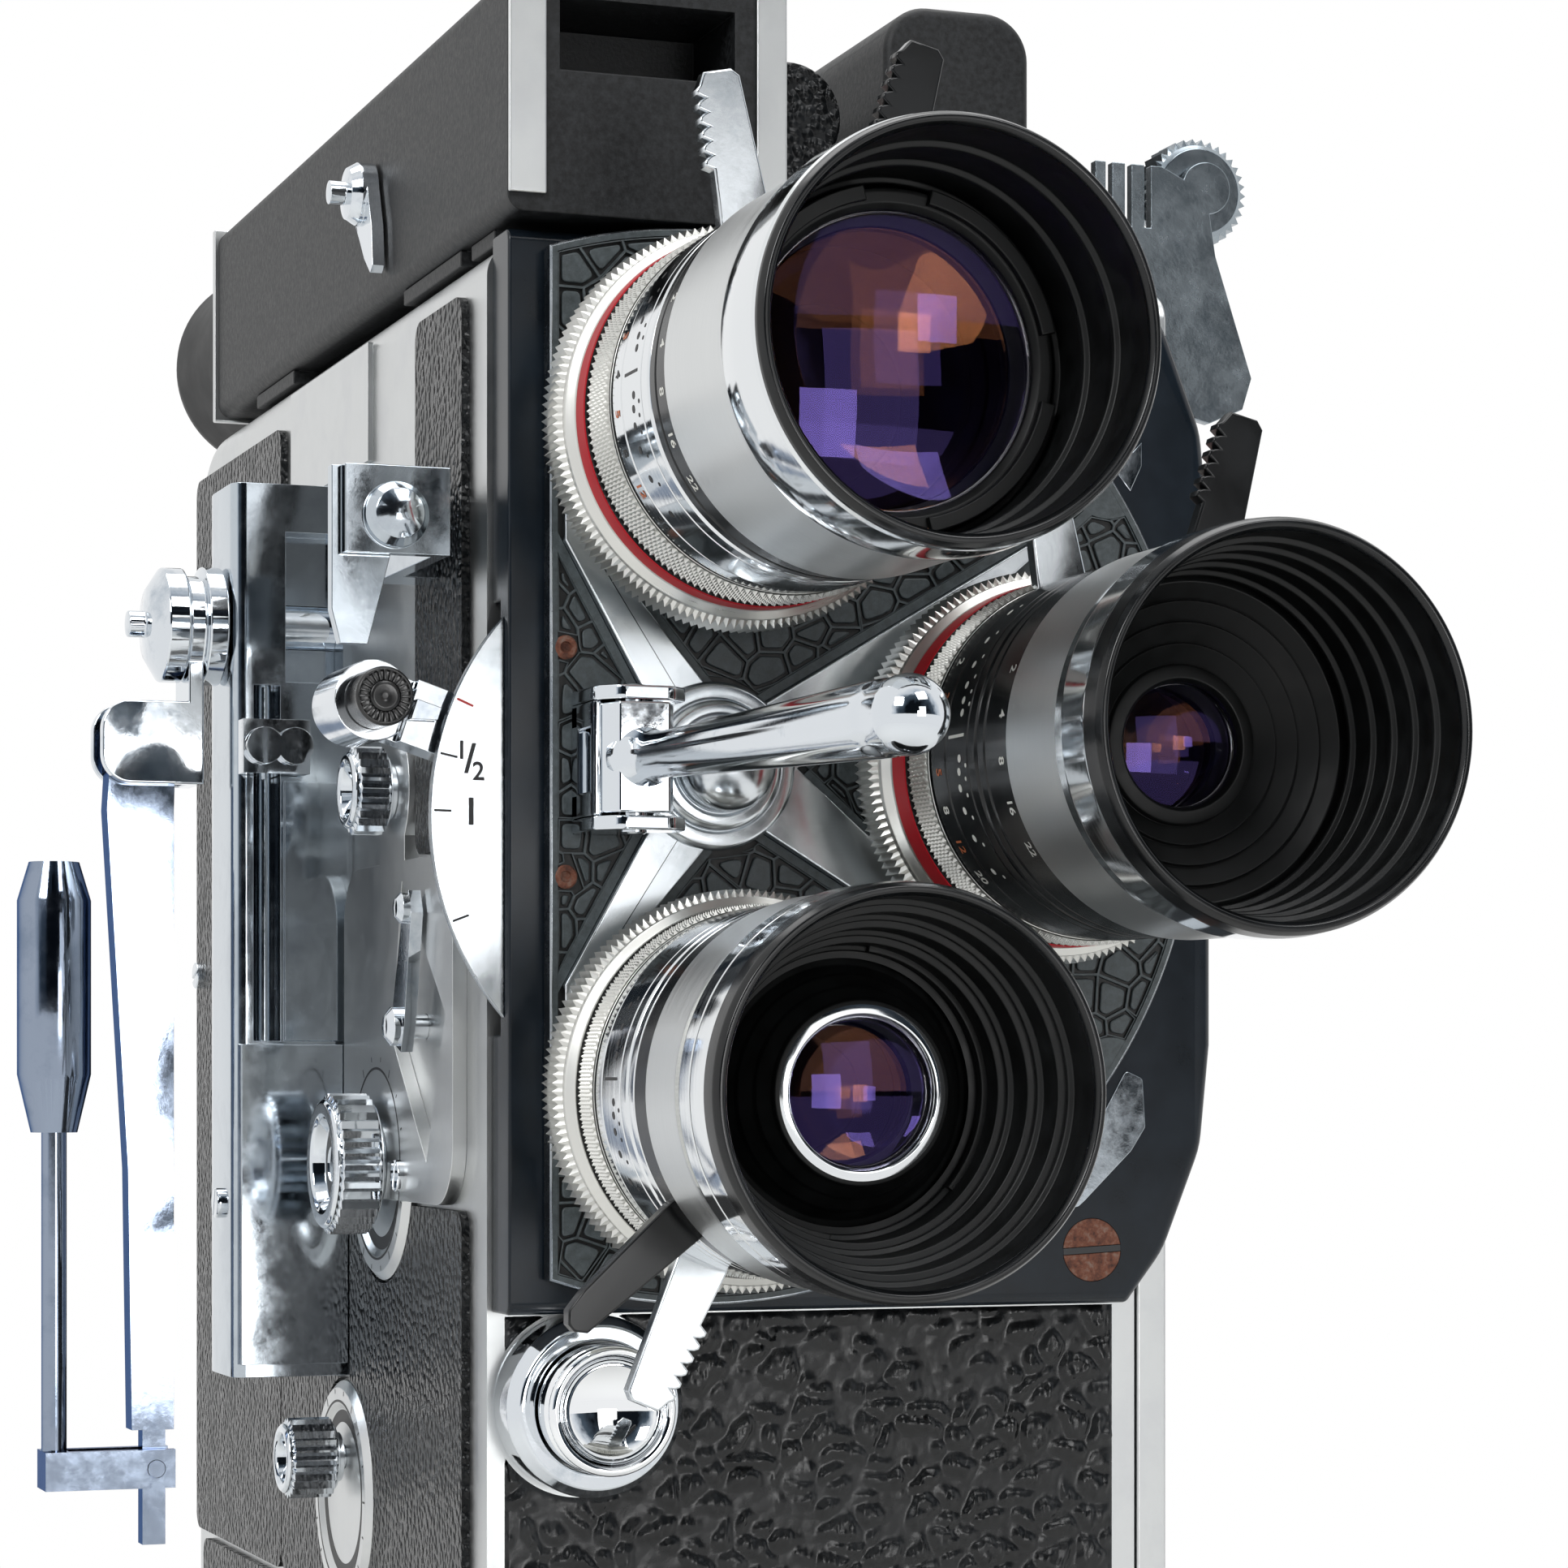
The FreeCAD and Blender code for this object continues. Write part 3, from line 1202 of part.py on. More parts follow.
def film_door():
    block = box("door_block", (door_x, right), (front, rear), (case_low, case_top))
    shape = rounded("door_shape", block, SIZES["case_corner"], all_of(runs_along("x"), beyond("y", 0)))
    shape = rounded("door_front", shape, SIZES["case_edge"], all_of(runs_along("x"), beyond("y", 0, -1)))
    lip = cavity("door_lip", (door_x - 2.4, door_x))
    lip_in = box("door_lip_in", (door_x - 3, door_x), (inner_front + 2, inner_rear - 2),
                 (inner_low + 2, inner_top - 2))
    lip_out = box("door_lip_out", (door_x - 3, door_x), (inner_front + 0.3, inner_rear - 0.3),
                  (inner_low + 0.3, inner_top - 0.3))
    frame_lip = cut("door_lip_ring", common("door_lip_small", lip, rounded(
        "door_lip_shape", lip_out, SIZES["case_corner"] - SIZES["case_wall"], runs_along("x"))), lip_in)
    holes = [rod("door_latch_hole_" + str(number), d.latch_stem + d.fit_gap, 12,
                 (right + 1, latch_y, z), TO_LEFT)
             for number, z in enumerate(latch_heights)]
    return cut("film_door", fuse("door_joined", shape, frame_lip), *holes)


latch_y = (front + rear) / 2
latch_heights = [hub_z + d.latch_upper, hub_z - d.latch_lower]


def door_leather():
    panel = box("door_skin", (right, right + d.leather_thick), (front + 6, rear - 6),
                (case_low + 8, case_top - 14))
    shape = rounded("door_skin_shape", panel, SIZES["door_skin_corner"], runs_along("x"))
    rooms = [rod("door_skin_room_" + str(number), d.latch_radius + 1.2, 3, (right - 1, latch_y, z), TO_DOOR)
             for number, z in enumerate(latch_heights)]
    return cut("door_leather", shape, *rooms)


def door_latch(name, z):
    """A round turn latch with a finger bar, and a stem with a cam inside the door."""
    disc = turned(name + "_disc", [(0, 0.3), (d.latch_radius, 0.3), (d.latch_radius, 1.6),
                                   (d.latch_radius - 0.8, 2.2), (0, 2.2)], (right, latch_y, z), TO_DOOR)
    grip = box(name + "_grip", (right + 2, right + 5.4), (latch_y - 1.3, latch_y + 1.3),
               (z - d.latch_radius + 0.6, z + d.latch_radius - 0.6))
    stem = rod(name + "_stem", d.latch_stem, d.door_thick + 2, (right + 1, latch_y, z), TO_LEFT)
    cam = box(name + "_cam", (door_x - 2.4, door_x - 0.8), (latch_y - 2.4, latch_y + 2.4), (z - 3, z + 8))
    return fuse(name, disc, grip, stem, cam)


wheel_x = hub_x + d.wheel_right
wheel_z = hub_z + d.wheel_above
bracket_y = front + d.bracket_back


def accessory_bracket():
    """A bright sheet bracket on the door with three slots and a pin for a thumbwheel."""
    outline = [(44.7, 62.3), (44.7, 53), (50.6, 49.4), (52.2, 45), (51.5, 40.4), (53.2, 37.7), (57.2, 36.8),
               (60.9, 38.4), (61.9, 41.6), (60.5, 46), (57.9, 53.6), (57.2, 58), (56.8, 60), (52, 62.2)]
    sheet = slab("bracket_sheet", outline, d.bracket_thick, (hub_x, bracket_y, hub_z), TO_FRONT)
    slots = [box("bracket_slot_" + str(number), (hub_x + x - 0.35, hub_x + x + 0.35),
                 (bracket_y - 3, bracket_y + 1),
                 (hub_z + 56, hub_z + 63)) for number, x in enumerate([46.2, 48.3, 50.4])]
    foot = box("bracket_foot", (right, right + 2.5), (bracket_y - d.bracket_thick, bracket_y + 9),
               (case_top - 12, case_top - 2.5))
    pin = rod("bracket_pin_rod", d.pin_radius, 7.6, (wheel_x, bracket_y - d.bracket_thick, wheel_z), TO_REAR)
    ear = rod("bracket_ear", 2.6, d.bracket_thick, (wheel_x, bracket_y, wheel_z), TO_FRONT)
    return fuse("accessory_bracket", cut("bracket_slotted", fuse("bracket_flat", sheet, ear), *slots), foot,
                pin)


def thumbwheel():
    r = d.thumbwheel_radius
    bore = d.pin_radius + d.fit_gap
    return turned("thumbwheel", [(bore, 0.4), (r - 1, 0.4), (r, 0.9), (r, 5.2), (r - 0.6, 5.6), (bore, 5.6)],
                  (wheel_x, bracket_y, wheel_z), TO_REAR)


# Film path and motor

def spring_barrel():
    r = d.barrel_radius
    x = shaft_end + d.run_gap
    outline = [(0, 0), (r, 0), (r, d.barrel_thick), (6, d.barrel_thick), (6, d.barrel_thick + 1),
               (0, d.barrel_thick + 1)]
    drum = turned("barrel_drum", outline, (x, crank_y, crank_z), TO_DOOR)
    return fuse("spring_barrel", drum, rod("barrel_spindle", d.crank_shaft, room_x - x, (x, crank_y, crank_z),
                                           TO_DOOR))


def sprocket(name, z):
    r = d.sprocket_radius
    wide = d.sprocket_wide
    outline = [(0, -4), (d.spindle_radius, -4), (d.spindle_radius, 1), (r, 1), (r, 3), (r - 1.4, 3.4),
               (r - 1.4, wide - 2), (r, wide - 1.6), (r, wide), (2, wide), (2, wide + 1.4), (0, wide + 1.6)]
    drum = turned(name + "_drum", outline, (room_x, sprocket_y, z), TO_DOOR)
    teeth = []
    count = 8
    for number in range(count):
        turn = Rotation(Vector(1, 0, 0), number * 360 / count)
        at = turn.multVec(Vector(0, 0, 1))
        reach = d.sprocket_radius - 0.3
        teeth.append(cone(name + "_tooth_" + str(number), 0.8, 0.4, 1.5,
                          (room_x + 2, sprocket_y + reach * at.y, z + reach * at.z), turn))
    return fuse(name, drum, *teeth)


def spindle(name, z):
    """A spool spindle with a flange and a square driving end."""
    r = d.spindle_radius
    outline = [(0, -5), (r, -5), (r, 0.4), (r + 4, 0.4), (r + 4, 1.6), (r - 1.2, 2),
               (r - 1.2, d.spindle_long - 3),
               (0, d.spindle_long - 3)]
    stem = turned(name + "_stem", outline, (room_x, spool_y, z), TO_DOOR)
    square = box(name + "_square", (room_x + 2, room_x + d.spindle_long), (spool_y - 2.4, spool_y + 2.4),
                 (z - 2.4, z + 2.4))
    return fuse(name, stem, square)


gate_y = inner_front + d.gate_back
light_x = hub_x + d.lens_circle


def film_gate():
    plate = box("gate_plate", (room_x, light_x + 9), (gate_y, gate_y + d.gate_thick),
                (hub_z - d.gate_half_tall, hub_z + d.gate_half_tall))
    window = box("gate_window", (light_x - d.frame_wide / 2, light_x + d.frame_wide / 2),
                 (gate_y - 1, gate_y + 3),
                 (hub_z - d.frame_tall / 2, hub_z + d.frame_tall / 2))
    pins = [rod("gate_pin_" + str(number), d.gate_pin, 8, (light_x + shift, gate_y + 1, hub_z + rise),
                TO_REAR)
            for number, (shift, rise) in enumerate([(-7, 12), (7, -12)])]
    return cut("film_gate", fuse("gate_joined", plate, *pins), window)


def pressure_plate():
    plate = box("pressure_block", (light_x - 8.6, light_x + 8.6), (gate_y + 2.3, gate_y + 4.1),
                (hub_z - 15, hub_z + 15))
    pad = box("pressure_pad", (light_x - 3, light_x + 3), (gate_y + 4.1, gate_y + 8), (hub_z - 5, hub_z + 5))
    holes = [rod("pressure_hole_" + str(number), d.gate_pin + d.fit_gap, 6,
                 (light_x + shift, gate_y + 1.5, hub_z + rise), TO_REAR)
             for number, (shift, rise) in enumerate([(-7, 12), (7, -12)])]
    return cut("pressure_plate", fuse("pressure_joined", plate, pad), *holes)


disc_x = hub_x + d.shutter_right
disc_z = hub_z - d.shutter_below


def shutter_disc():
    """A half disc of thin sheet that turns just behind the light hole."""
    y = inner_front + 2.6
    disc = rod("shutter_round", d.shutter_radius, d.sheet_thin, (disc_x, y, disc_z), TO_REAR)
    gap = box("shutter_gap", (disc_x, disc_x + 30), (y - 1, y + 2), (disc_z - 30, disc_z + 30))
    hub = rod("shutter_hub", 4.5, 2.6, (disc_x, y, disc_z), TO_REAR)
    hole = rod("shutter_bore", d.pin_radius + d.fit_gap, 6, (disc_x, y - 1, disc_z), TO_REAR)
    return cut("shutter_disc", fuse("shutter_joined", cut("shutter_half", disc, gap), hub), hole)


def build_all():
    keep(body_casting(), "body_casting")
    keep(mechanism_plate(), "mechanism_plate")
    keep(front_plate(), "front_plate")
    keep(base_plate(), "base_plate")
    keep(leather_panels(), "leather_panels")
    keep(control_plates(), "control_plates")
    keep(shutter_scale(), "shutter_scale")
    keep(turret_disc(), "turret_disc")
    keep(turret_star(), "turret_star")
    keep(lever_bracket(), "lever_bracket")
    keep(turret_lever(), "turret_lever")
    glasses = []
    for lens, x, z in lens_places():
        keep(lens_barrel(lens, x, z), "lens_barrel_" + lens)
        focus, iris = lens_rings(lens, x, z)
        keep(focus, "focus_ring_" + lens)
        keep(iris, "iris_ring_" + lens)
        keep(lens_hood(lens, x, z), "lens_hood_" + lens)
        glasses.append(front_glass(lens, x, z))
    keep(bundle("front_glasses", *glasses), "front_glasses")
    keep(release_collar(), "release_collar")
    keep(release_button(), "release_button")
    keep(shutter_lever(), "shutter_lever")
    keep(shutter_knob(), "shutter_knob")
    keep(fader_housing(), "fader_housing")
    keep(fader_carriage(), "fader_carriage")
    keep(fader_bracket(), "fader_bracket")
    keep(crank_hub(), "crank_hub")
    keep(crank_arm(), "crank_arm")
    keep(crank_grip(), "crank_grip")
    keep(side_knob("counter_knob", counter_y, counter_z, d.counter_radius, d.counter_long, 1.6),
         "counter_knob")
    keep(side_knob("speed_knob", speed_y, speed_z, d.speed_radius, d.speed_long, 1.7), "speed_knob")
    keep(side_knob("clutch_knob", clutch_y, clutch_z, d.clutch_radius, d.clutch_long, 1.7), "clutch_knob")
    keep(selector_lever(), "selector_lever")
    keep(case_screws(), "case_screws")
    keep(finder_housing(), "finder_housing")
    keep(finder_trim(), "finder_trim")
    keep(finder_eyecup(), "finder_eyecup")
    keep(finder_lever(), "finder_lever")
    keep(reflex_housing(), "reflex_housing")
    keep(reflex_eyepiece(), "reflex_eyepiece")
    keep(carrying_handle(), "carrying_handle")
    keep(film_door(), "film_door")
    keep(door_leather(), "door_leather")
    keep(door_latch("door_latch_upper", latch_heights[0]), "door_latch_upper")
    keep(door_latch("door_latch_lower", latch_heights[1]), "door_latch_lower")
    keep(accessory_bracket(), "accessory_bracket")
    keep(thumbwheel(), "thumbwheel")
    keep(spring_barrel(), "spring_barrel")
    keep(sprocket("sprocket_upper", sprocket_upper_z), "sprocket_upper")
    keep(sprocket("sprocket_lower", sprocket_lower_z), "sprocket_lower")
    keep(spindle("supply_spindle", supply_z), "supply_spindle")
    keep(spindle("takeup_spindle", takeup_z), "takeup_spindle")
    keep(film_gate(), "film_gate")
    keep(pressure_plate(), "pressure_plate")
    keep(shutter_disc(), "shutter_disc")


def check_and_write():
    """Stops on any failed object, then writes each piece to its own file."""
    doc.recompute()
    failed = [item.Name for item in doc.Objects if "Invalid" in item.State or "Error" in item.State]
    if failed:
        raise RuntimeError("failed objects: " + ", ".join(failed))
    os.makedirs("parts", exist_ok=True)
    for item in parts:
        shape = item.Shape
        if shape.isNull() or not shape.isValid() or shape.Volume < 1:
            raise RuntimeError("bad shape: " + item.Label)
        shape.exportStep("parts/" + item.Label + ".step")
        print(item.Label, len(shape.Solids), round(shape.Volume, 1))


build_all()
check_and_write()
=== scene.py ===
import json
import math

import bmesh
import bpy
import numpy as np
from mathutils import Matrix, Vector, noise

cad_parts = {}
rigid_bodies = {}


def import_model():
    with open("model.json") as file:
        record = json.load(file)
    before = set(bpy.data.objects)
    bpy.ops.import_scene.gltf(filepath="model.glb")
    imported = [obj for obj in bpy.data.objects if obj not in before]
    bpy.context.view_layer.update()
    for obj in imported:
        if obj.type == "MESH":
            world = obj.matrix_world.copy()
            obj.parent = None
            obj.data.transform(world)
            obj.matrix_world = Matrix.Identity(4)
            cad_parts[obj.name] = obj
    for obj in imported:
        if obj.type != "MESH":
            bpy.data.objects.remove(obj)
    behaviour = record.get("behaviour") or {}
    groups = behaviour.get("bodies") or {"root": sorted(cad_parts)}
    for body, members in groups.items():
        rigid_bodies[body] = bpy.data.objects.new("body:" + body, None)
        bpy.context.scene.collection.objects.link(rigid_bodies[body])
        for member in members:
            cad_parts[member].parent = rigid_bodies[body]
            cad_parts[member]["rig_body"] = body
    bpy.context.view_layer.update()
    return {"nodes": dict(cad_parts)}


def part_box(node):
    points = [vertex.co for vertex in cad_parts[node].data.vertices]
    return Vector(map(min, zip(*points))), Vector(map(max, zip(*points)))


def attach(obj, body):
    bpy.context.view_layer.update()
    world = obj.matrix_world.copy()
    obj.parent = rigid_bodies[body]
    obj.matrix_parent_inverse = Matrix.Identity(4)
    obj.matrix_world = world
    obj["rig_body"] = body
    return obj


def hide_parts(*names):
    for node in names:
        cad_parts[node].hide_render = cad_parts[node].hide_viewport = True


# A spring-wound movie camera of about 1950: chrome, black enamel, pebbled leather and three lenses.
# Lengths are millimetres until a mesh is made, which turns them to metres.

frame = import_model()
MM = 0.001
HUB_X, HUB_Z = -15.4, 147.5
TURRET_Y, PLATE_Y, CASE_Y, LEFT_X = -73.8, -71.5, -66, -34.7
LENS_CIRCLE = 30

bpy.context.scene.view_settings.view_transform = "Standard"


# Colour and node helpers

def linear(hex_colour):
    """Turns an sRGB hex value into the linear colour that the shaders take."""
    channels = [int(hex_colour[i:i + 2], 16) / 255 for i in (1, 3, 5)]
    return tuple(c / 12.92 if c <= 0.04045 else ((c + 0.055) / 1.055) ** 2.4 for c in channels) + (1.0,)


def add(tree, kind, sockets=None, links=None, stops=None, **settings):
    """Adds one node with its settings, socket values, incoming links and colour stops."""
    made = tree.nodes.new(kind)
    for name, value in settings.items():
        setattr(made, name, value)
    for name, value in (sockets or {}).items():
        made.inputs[name].default_value = value
    for name, (source, output) in (links or {}).items():
        tree.links.new(source.outputs[output], made.inputs[name])
    if stops:
        elements = made.color_ramp.elements
        while len(elements) < len(stops):
            elements.new(0.5)
        for element, (position, colour) in zip(elements, stops):
            element.position = position
            element.color = linear(colour)
    return made


def per_mm(size):
    """A texture scale whose pattern repeats about every so many millimetres."""
    return 1 / (size * MM)


def blank(name, **shader_values):
    """A material, its nodes, its Principled shader with plain values, and the link to the piece's own coordinates."""
    material = bpy.data.materials.new(name)
    material.use_nodes = True
    tree = material.node_tree
    tree.nodes.clear()
    shader = add(tree, "ShaderNodeBsdfPrincipled",
                 {key.replace("_", " "): value for key, value in shader_values.items()})
    add(tree, "ShaderNodeOutputMaterial", links={"Surface": (shader, "BSDF")})
    place = add(tree, "ShaderNodeTexCoord")
    return material, tree, shader, {"Vector": (place, "Object")}


# Finishes

def plated(name, colour, dull, polish, haze, scratch, hair_mm, worn, edge="#ffffff"):
    """Metal with uneven polish, hairlines and duller patches where it has aged."""
    material, tree, shader, spot = blank(name, Metallic=1.0, Specular_Tint=linear(edge))
    patches = add(tree, "ShaderNodeTexNoise", {"Scale": per_mm(9), "Detail": 6, "Roughness": 0.65}, spot)
    shade = add(tree, "ShaderNodeValToRGB", None, {"Fac": (patches, "Fac")},
                [(worn, dull), (worn + 0.14, colour)])
    tree.links.new(shade.outputs["Color"], shader.inputs["Base Color"])
    clouds = add(tree, "ShaderNodeTexNoise", {"Scale": per_mm(3), "Detail": 6, "Roughness": 0.7}, spot)
    rough = add(tree, "ShaderNodeMapRange", {"From Min": 0.4, "From Max": 0.72, "To Min": polish, "To Max": haze},
                {"Value": (clouds, "Fac")})
    tree.links.new(rough.outputs["Result"], shader.inputs["Roughness"])
    drawn = add(tree, "ShaderNodeMapping", {"Scale": (1, 16, 1), "Rotation": (0.5, 0.8, 0.3)}, spot)
    hairs = add(tree, "ShaderNodeTexNoise", {"Scale": per_mm(hair_mm), "Detail": 3, "Roughness": 0.6},
                {"Vector": (drawn, "Vector")})
    bump = add(tree, "ShaderNodeBump", {"Strength": scratch, "Distance": 0.02 * MM}, {"Height": (hairs, "Fac")})
    tree.links.new(bump.outputs["Normal"], shader.inputs["Normal"])
    return material


def lathed(name, colour, polish, haze, depth, line_mm=0.25):
    """Lathe-turned rings: fine lines round each lens axis, which stretch its highlights."""
    material, tree, shader, spot = blank(name, Metallic=1.0, Base_Color=linear(colour))
    along = add(tree, "ShaderNodeMapping", {"Scale": (0.03, 1, 0.03)}, spot)
    lines = add(tree, "ShaderNodeTexNoise", {"Scale": per_mm(line_mm), "Detail": 3, "Roughness": 0.7},
                {"Vector": (along, "Vector")})
    rough = add(tree, "ShaderNodeMapRange", {"From Min": 0.3, "From Max": 0.7, "To Min": polish, "To Max": haze},
                {"Value": (lines, "Fac")})
    tree.links.new(rough.outputs["Result"], shader.inputs["Roughness"])
    bump = add(tree, "ShaderNodeBump", {"Strength": depth, "Distance": 0.015 * MM}, {"Height": (lines, "Fac")})
    tree.links.new(bump.outputs["Normal"], shader.inputs["Normal"])
    return material


def coated(name, colour, far_colour, gloss, dull, coat, speck_mm=0.5, depth_mm=0.01, patch_mm=6, shine=0.5):
    """Paint or enamel: an uneven colour, with a fine orange-peel surface, and a clear coat where it has one."""
    material, tree, shader, spot = blank(name, Coat_Weight=coat, Coat_Roughness=0.08,
                                          Specular_IOR_Level=shine)
    patches = add(tree, "ShaderNodeTexNoise", {"Scale": per_mm(patch_mm), "Detail": 5, "Roughness": 0.6}, spot)
    shade = add(tree, "ShaderNodeValToRGB", None, {"Fac": (patches, "Fac")},
                [(0.35, colour), (0.7, far_colour)])
    tree.links.new(shade.outputs["Color"], shader.inputs["Base Color"])
    rough = add(tree, "ShaderNodeMapRange", {"From Min": 0.3, "From Max": 0.75, "To Min": gloss, "To Max": dull},
                {"Value": (patches, "Fac")})
    tree.links.new(rough.outputs["Result"], shader.inputs["Roughness"])
    speck = add(tree, "ShaderNodeTexNoise", {"Scale": per_mm(speck_mm), "Detail": 4, "Roughness": 0.7}, spot)
    bump = add(tree, "ShaderNodeBump", {"Strength": 0.4, "Distance": depth_mm * MM}, {"Height": (speck, "Fac")})
    tree.links.new(bump.outputs["Normal"], shader.inputs["Normal"])
    return material


def pebbled_leather(name, pebble_depth, pebble_mm, warp_mm, shine):
    """Embossed leatherette: near-black vinyl, shiny on its tops, with pores and soft wrinkles."""
    material, tree, shader, spot = blank(name, Specular_IOR_Level=shine)
    patches = add(tree, "ShaderNodeTexNoise", {"Scale": per_mm(5), "Detail": 5, "Roughness": 0.6}, spot)
    shade = add(tree, "ShaderNodeValToRGB", None, {"Fac": (patches, "Fac")}, [(0.35, "#0b0c0d"), (0.7, "#181a1c")])
    tree.links.new(shade.outputs["Color"], shader.inputs["Base Color"])
    rough = add(tree, "ShaderNodeMapRange", {"From Min": 0.3, "From Max": 0.7, "To Min": 0.2, "To Max": 0.34},
                {"Value": (patches, "Fac")})
    tree.links.new(rough.outputs["Result"], shader.inputs["Roughness"])
    warp = add(tree, "ShaderNodeTexNoise", {"Scale": per_mm(4), "Detail": 2}, spot)
    bent = add(tree, "ShaderNodeVectorMath", {1: (warp_mm * MM,) * 3}, {0: (warp, "Color")}, operation="MULTIPLY")
    moved = add(tree, "ShaderNodeVectorMath", None, {0: spot["Vector"], 1: (bent, "Vector")}, operation="ADD")
    pebbles = add(tree, "ShaderNodeTexVoronoi", {"Scale": per_mm(pebble_mm), "Smoothness": 0.35},
                  {"Vector": (moved, "Vector")}, feature="SMOOTH_F1")
    tops = add(tree, "ShaderNodeMapRange", {"From Max": 0.75, "To Min": 1.0, "To Max": 0.0},
               {"Value": (pebbles, "Distance")})
    large = add(tree, "ShaderNodeBump", {"Strength": 0.9, "Distance": pebble_depth * MM},
                {"Height": (tops, "Result")})
    wrinkles = add(tree, "ShaderNodeTexNoise", {"Scale": per_mm(0.6), "Detail": 4, "Roughness": 0.6}, spot)
    fine = add(tree, "ShaderNodeBump", {"Strength": 0.3, "Distance": 0.06 * MM},
               {"Height": (wrinkles, "Fac"), "Normal": (large, "Normal")})
    tree.links.new(fine.outputs["Normal"], shader.inputs["Normal"])
    return material


def crackle_with_painted_groove_shade():
    """Stamped and enamelled turret inlay: grey tops, and painted shade that turns the grooves near-black by their
    depth.
    """
    material, tree, shader, spot = blank("crackle_with_painted_groove_shade")
    haze = add(tree, "ShaderNodeTexNoise", {"Scale": per_mm(0.8), "Detail": 7, "Roughness": 0.75}, spot)
    at = add(tree, "ShaderNodeSeparateXYZ", None, spot)
    # Painted shade: the deeper a face lies towards the groove floor, the nearer its colour goes to black
    tops = add(tree, "ShaderNodeMapRange",
               {"From Min": (TURRET_Y + 0.42) * MM, "From Max": (TURRET_Y + 0.1) * MM}, {"Value": (at, "Y")})
    shade = add(tree, "ShaderNodeValToRGB", None, {"Fac": (tops, "Result")},
                [(0.15, "#050606"), (0.9, "#454d50")])
    mottle = add(tree, "ShaderNodeValToRGB", None, {"Fac": (haze, "Fac")}, [(0.35, "#8a8f90"), (0.65, "#ffffff")])
    mixed = add(tree, "ShaderNodeMix", {0: 0.8}, {6: (shade, "Color"), 7: (mottle, "Color")},
                data_type="RGBA", blend_type="MULTIPLY")
    tree.links.new(mixed.outputs[2], shader.inputs["Base Color"])
    rough = add(tree, "ShaderNodeMapRange", {"From Min": 0.3, "From Max": 0.7, "To Min": 0.4, "To Max": 0.6},
                {"Value": (haze, "Fac")})
    tree.links.new(rough.outputs["Result"], shader.inputs["Roughness"])
    bump = add(tree, "ShaderNodeBump", {"Strength": 0.6, "Distance": 0.05 * MM}, {"Height": (haze, "Fac")})
    tree.links.new(bump.outputs["Normal"], shader.inputs["Normal"])
    return material


def coated_glass(name, reflection, body, index):
    """Ground optical glass with a tinted anti-reflection coating."""
    return blank(name, Base_Color=linear(body), Transmission_Weight=1.0, Roughness=0.0, IOR=index,
                 Specular_IOR_Level=0.26, Specular_Tint=linear(reflection))[0]


def rusty_steel():
    """Plain steel that has rusted: a brown crust with some grey left."""
    material, tree, shader, spot = blank("rusty_steel", Roughness=0.75)
    crust = add(tree, "ShaderNodeTexNoise", {"Scale": per_mm(1.1), "Detail": 7, "Roughness": 0.7}, spot)
    shade = add(tree, "ShaderNodeValToRGB", None, {"Fac": (crust, "Fac")},
                [(0.35, "#331a13"), (0.52, "#6b3d2a"), (0.7, "#8a7a70")])
    tree.links.new(shade.outputs["Color"], shader.inputs["Base Color"])
    metal = add(tree, "ShaderNodeMapRange", {"From Min": 0.5, "From Max": 0.7, "To Min": 0.05, "To Max": 0.7},
                {"Value": (crust, "Fac")})
    tree.links.new(metal.outputs["Result"], shader.inputs["Metallic"])
    bump = add(tree, "ShaderNodeBump", {"Strength": 0.7, "Distance": 0.08 * MM}, {"Height": (crust, "Fac")})
    tree.links.new(bump.outputs["Normal"], shader.inputs["Normal"])
    return material


# Chromium plate on brass: mirror-bright, with hairlines and a bluish cast in its dull spots
CHROME = plated("bright_chrome", "#d6dbe0", "#aeb8c2", 0.03, 0.09, 0.08, 0.9, 0.3)
# The same plating kept free of marks, for the dish of the release button
MIRROR = plated("mirror_chrome", "#eceef0", "#d4d9de", 0.015, 0.05, 0.03, 1.2, 0.25)
# Chromium plate with a fine satin, on the turret's star and the shutter scale
SATIN_CHROME = plated("satin_chrome", "#d3d8dc", "#bfc6cb", 0.16, 0.26, 0.1, 0.5, 0.34)
# Older plating where hands and brackets rub: slightly duller spots between bright ones
SCUFFED = plated("scuffed_chrome", "#bac2c9", "#aeb6be", 0.07, 0.17, 0.12, 0.7, 0.36)
# Chromium's own faint blue on the crank, painted darker and bluer than the other chrome as painted shade and painted
# reflection of a bluish room, with a blue edge tint
CHROME_WITH_PAINTED_BLUE_SHADE = plated("chrome_with_painted_blue_shade", "#8f9aab", "#818d9f", 0.06, 0.16, 0.12, 0.7, 0.36, "#7888ab")
# Blasted and clear-anodised aluminium: soft grey with no mirror in it
SATIN = plated("satin_aluminium", "#cbcdcd", "#c7c9ca", 0.31, 0.36, 0.2, 0.35, 0.36)
# Nickel-grey plating of the bracket and its wheel, rubbed to a soft shine
WORN = plated("worn_plating", "#99a2a8", "#8b949b", 0.2, 0.3, 0.3, 0.5, 0.38)
# Ground steel of the turret's rim, the scale's edge and the spindles: grey, with fine scratches
STEEL = plated("ground_steel", "#a3a8ac", "#7b8187", 0.2, 0.36, 0.3, 0.4, 0.4)
# Lathe-turned aluminium: near-white rings and knurls
TURNED = lathed("turned_aluminium", "#d2d2ce", 0.27, 0.42, 0.3)
# Turned and lightly frosted aluminium of the front rings: a soft grey sheen
FROSTED = lathed("frosted_aluminium", "#d4d6d6", 0.3, 0.4, 0.3)
# Lathe-turned and polished rings: mirror-bright round their axis
POLISHED = lathed("polished_rings", "#dfe2e4", 0.05, 0.12, 0.12, 0.4)
# Stove enamel on the front plate: blue-black, with a soft gloss and faint rubbing
ENAMEL = coated("front_enamel", "#10161c", "#161e26", 0.2, 0.26, 0.0, 1.2, 0.004, 6, 0.3)
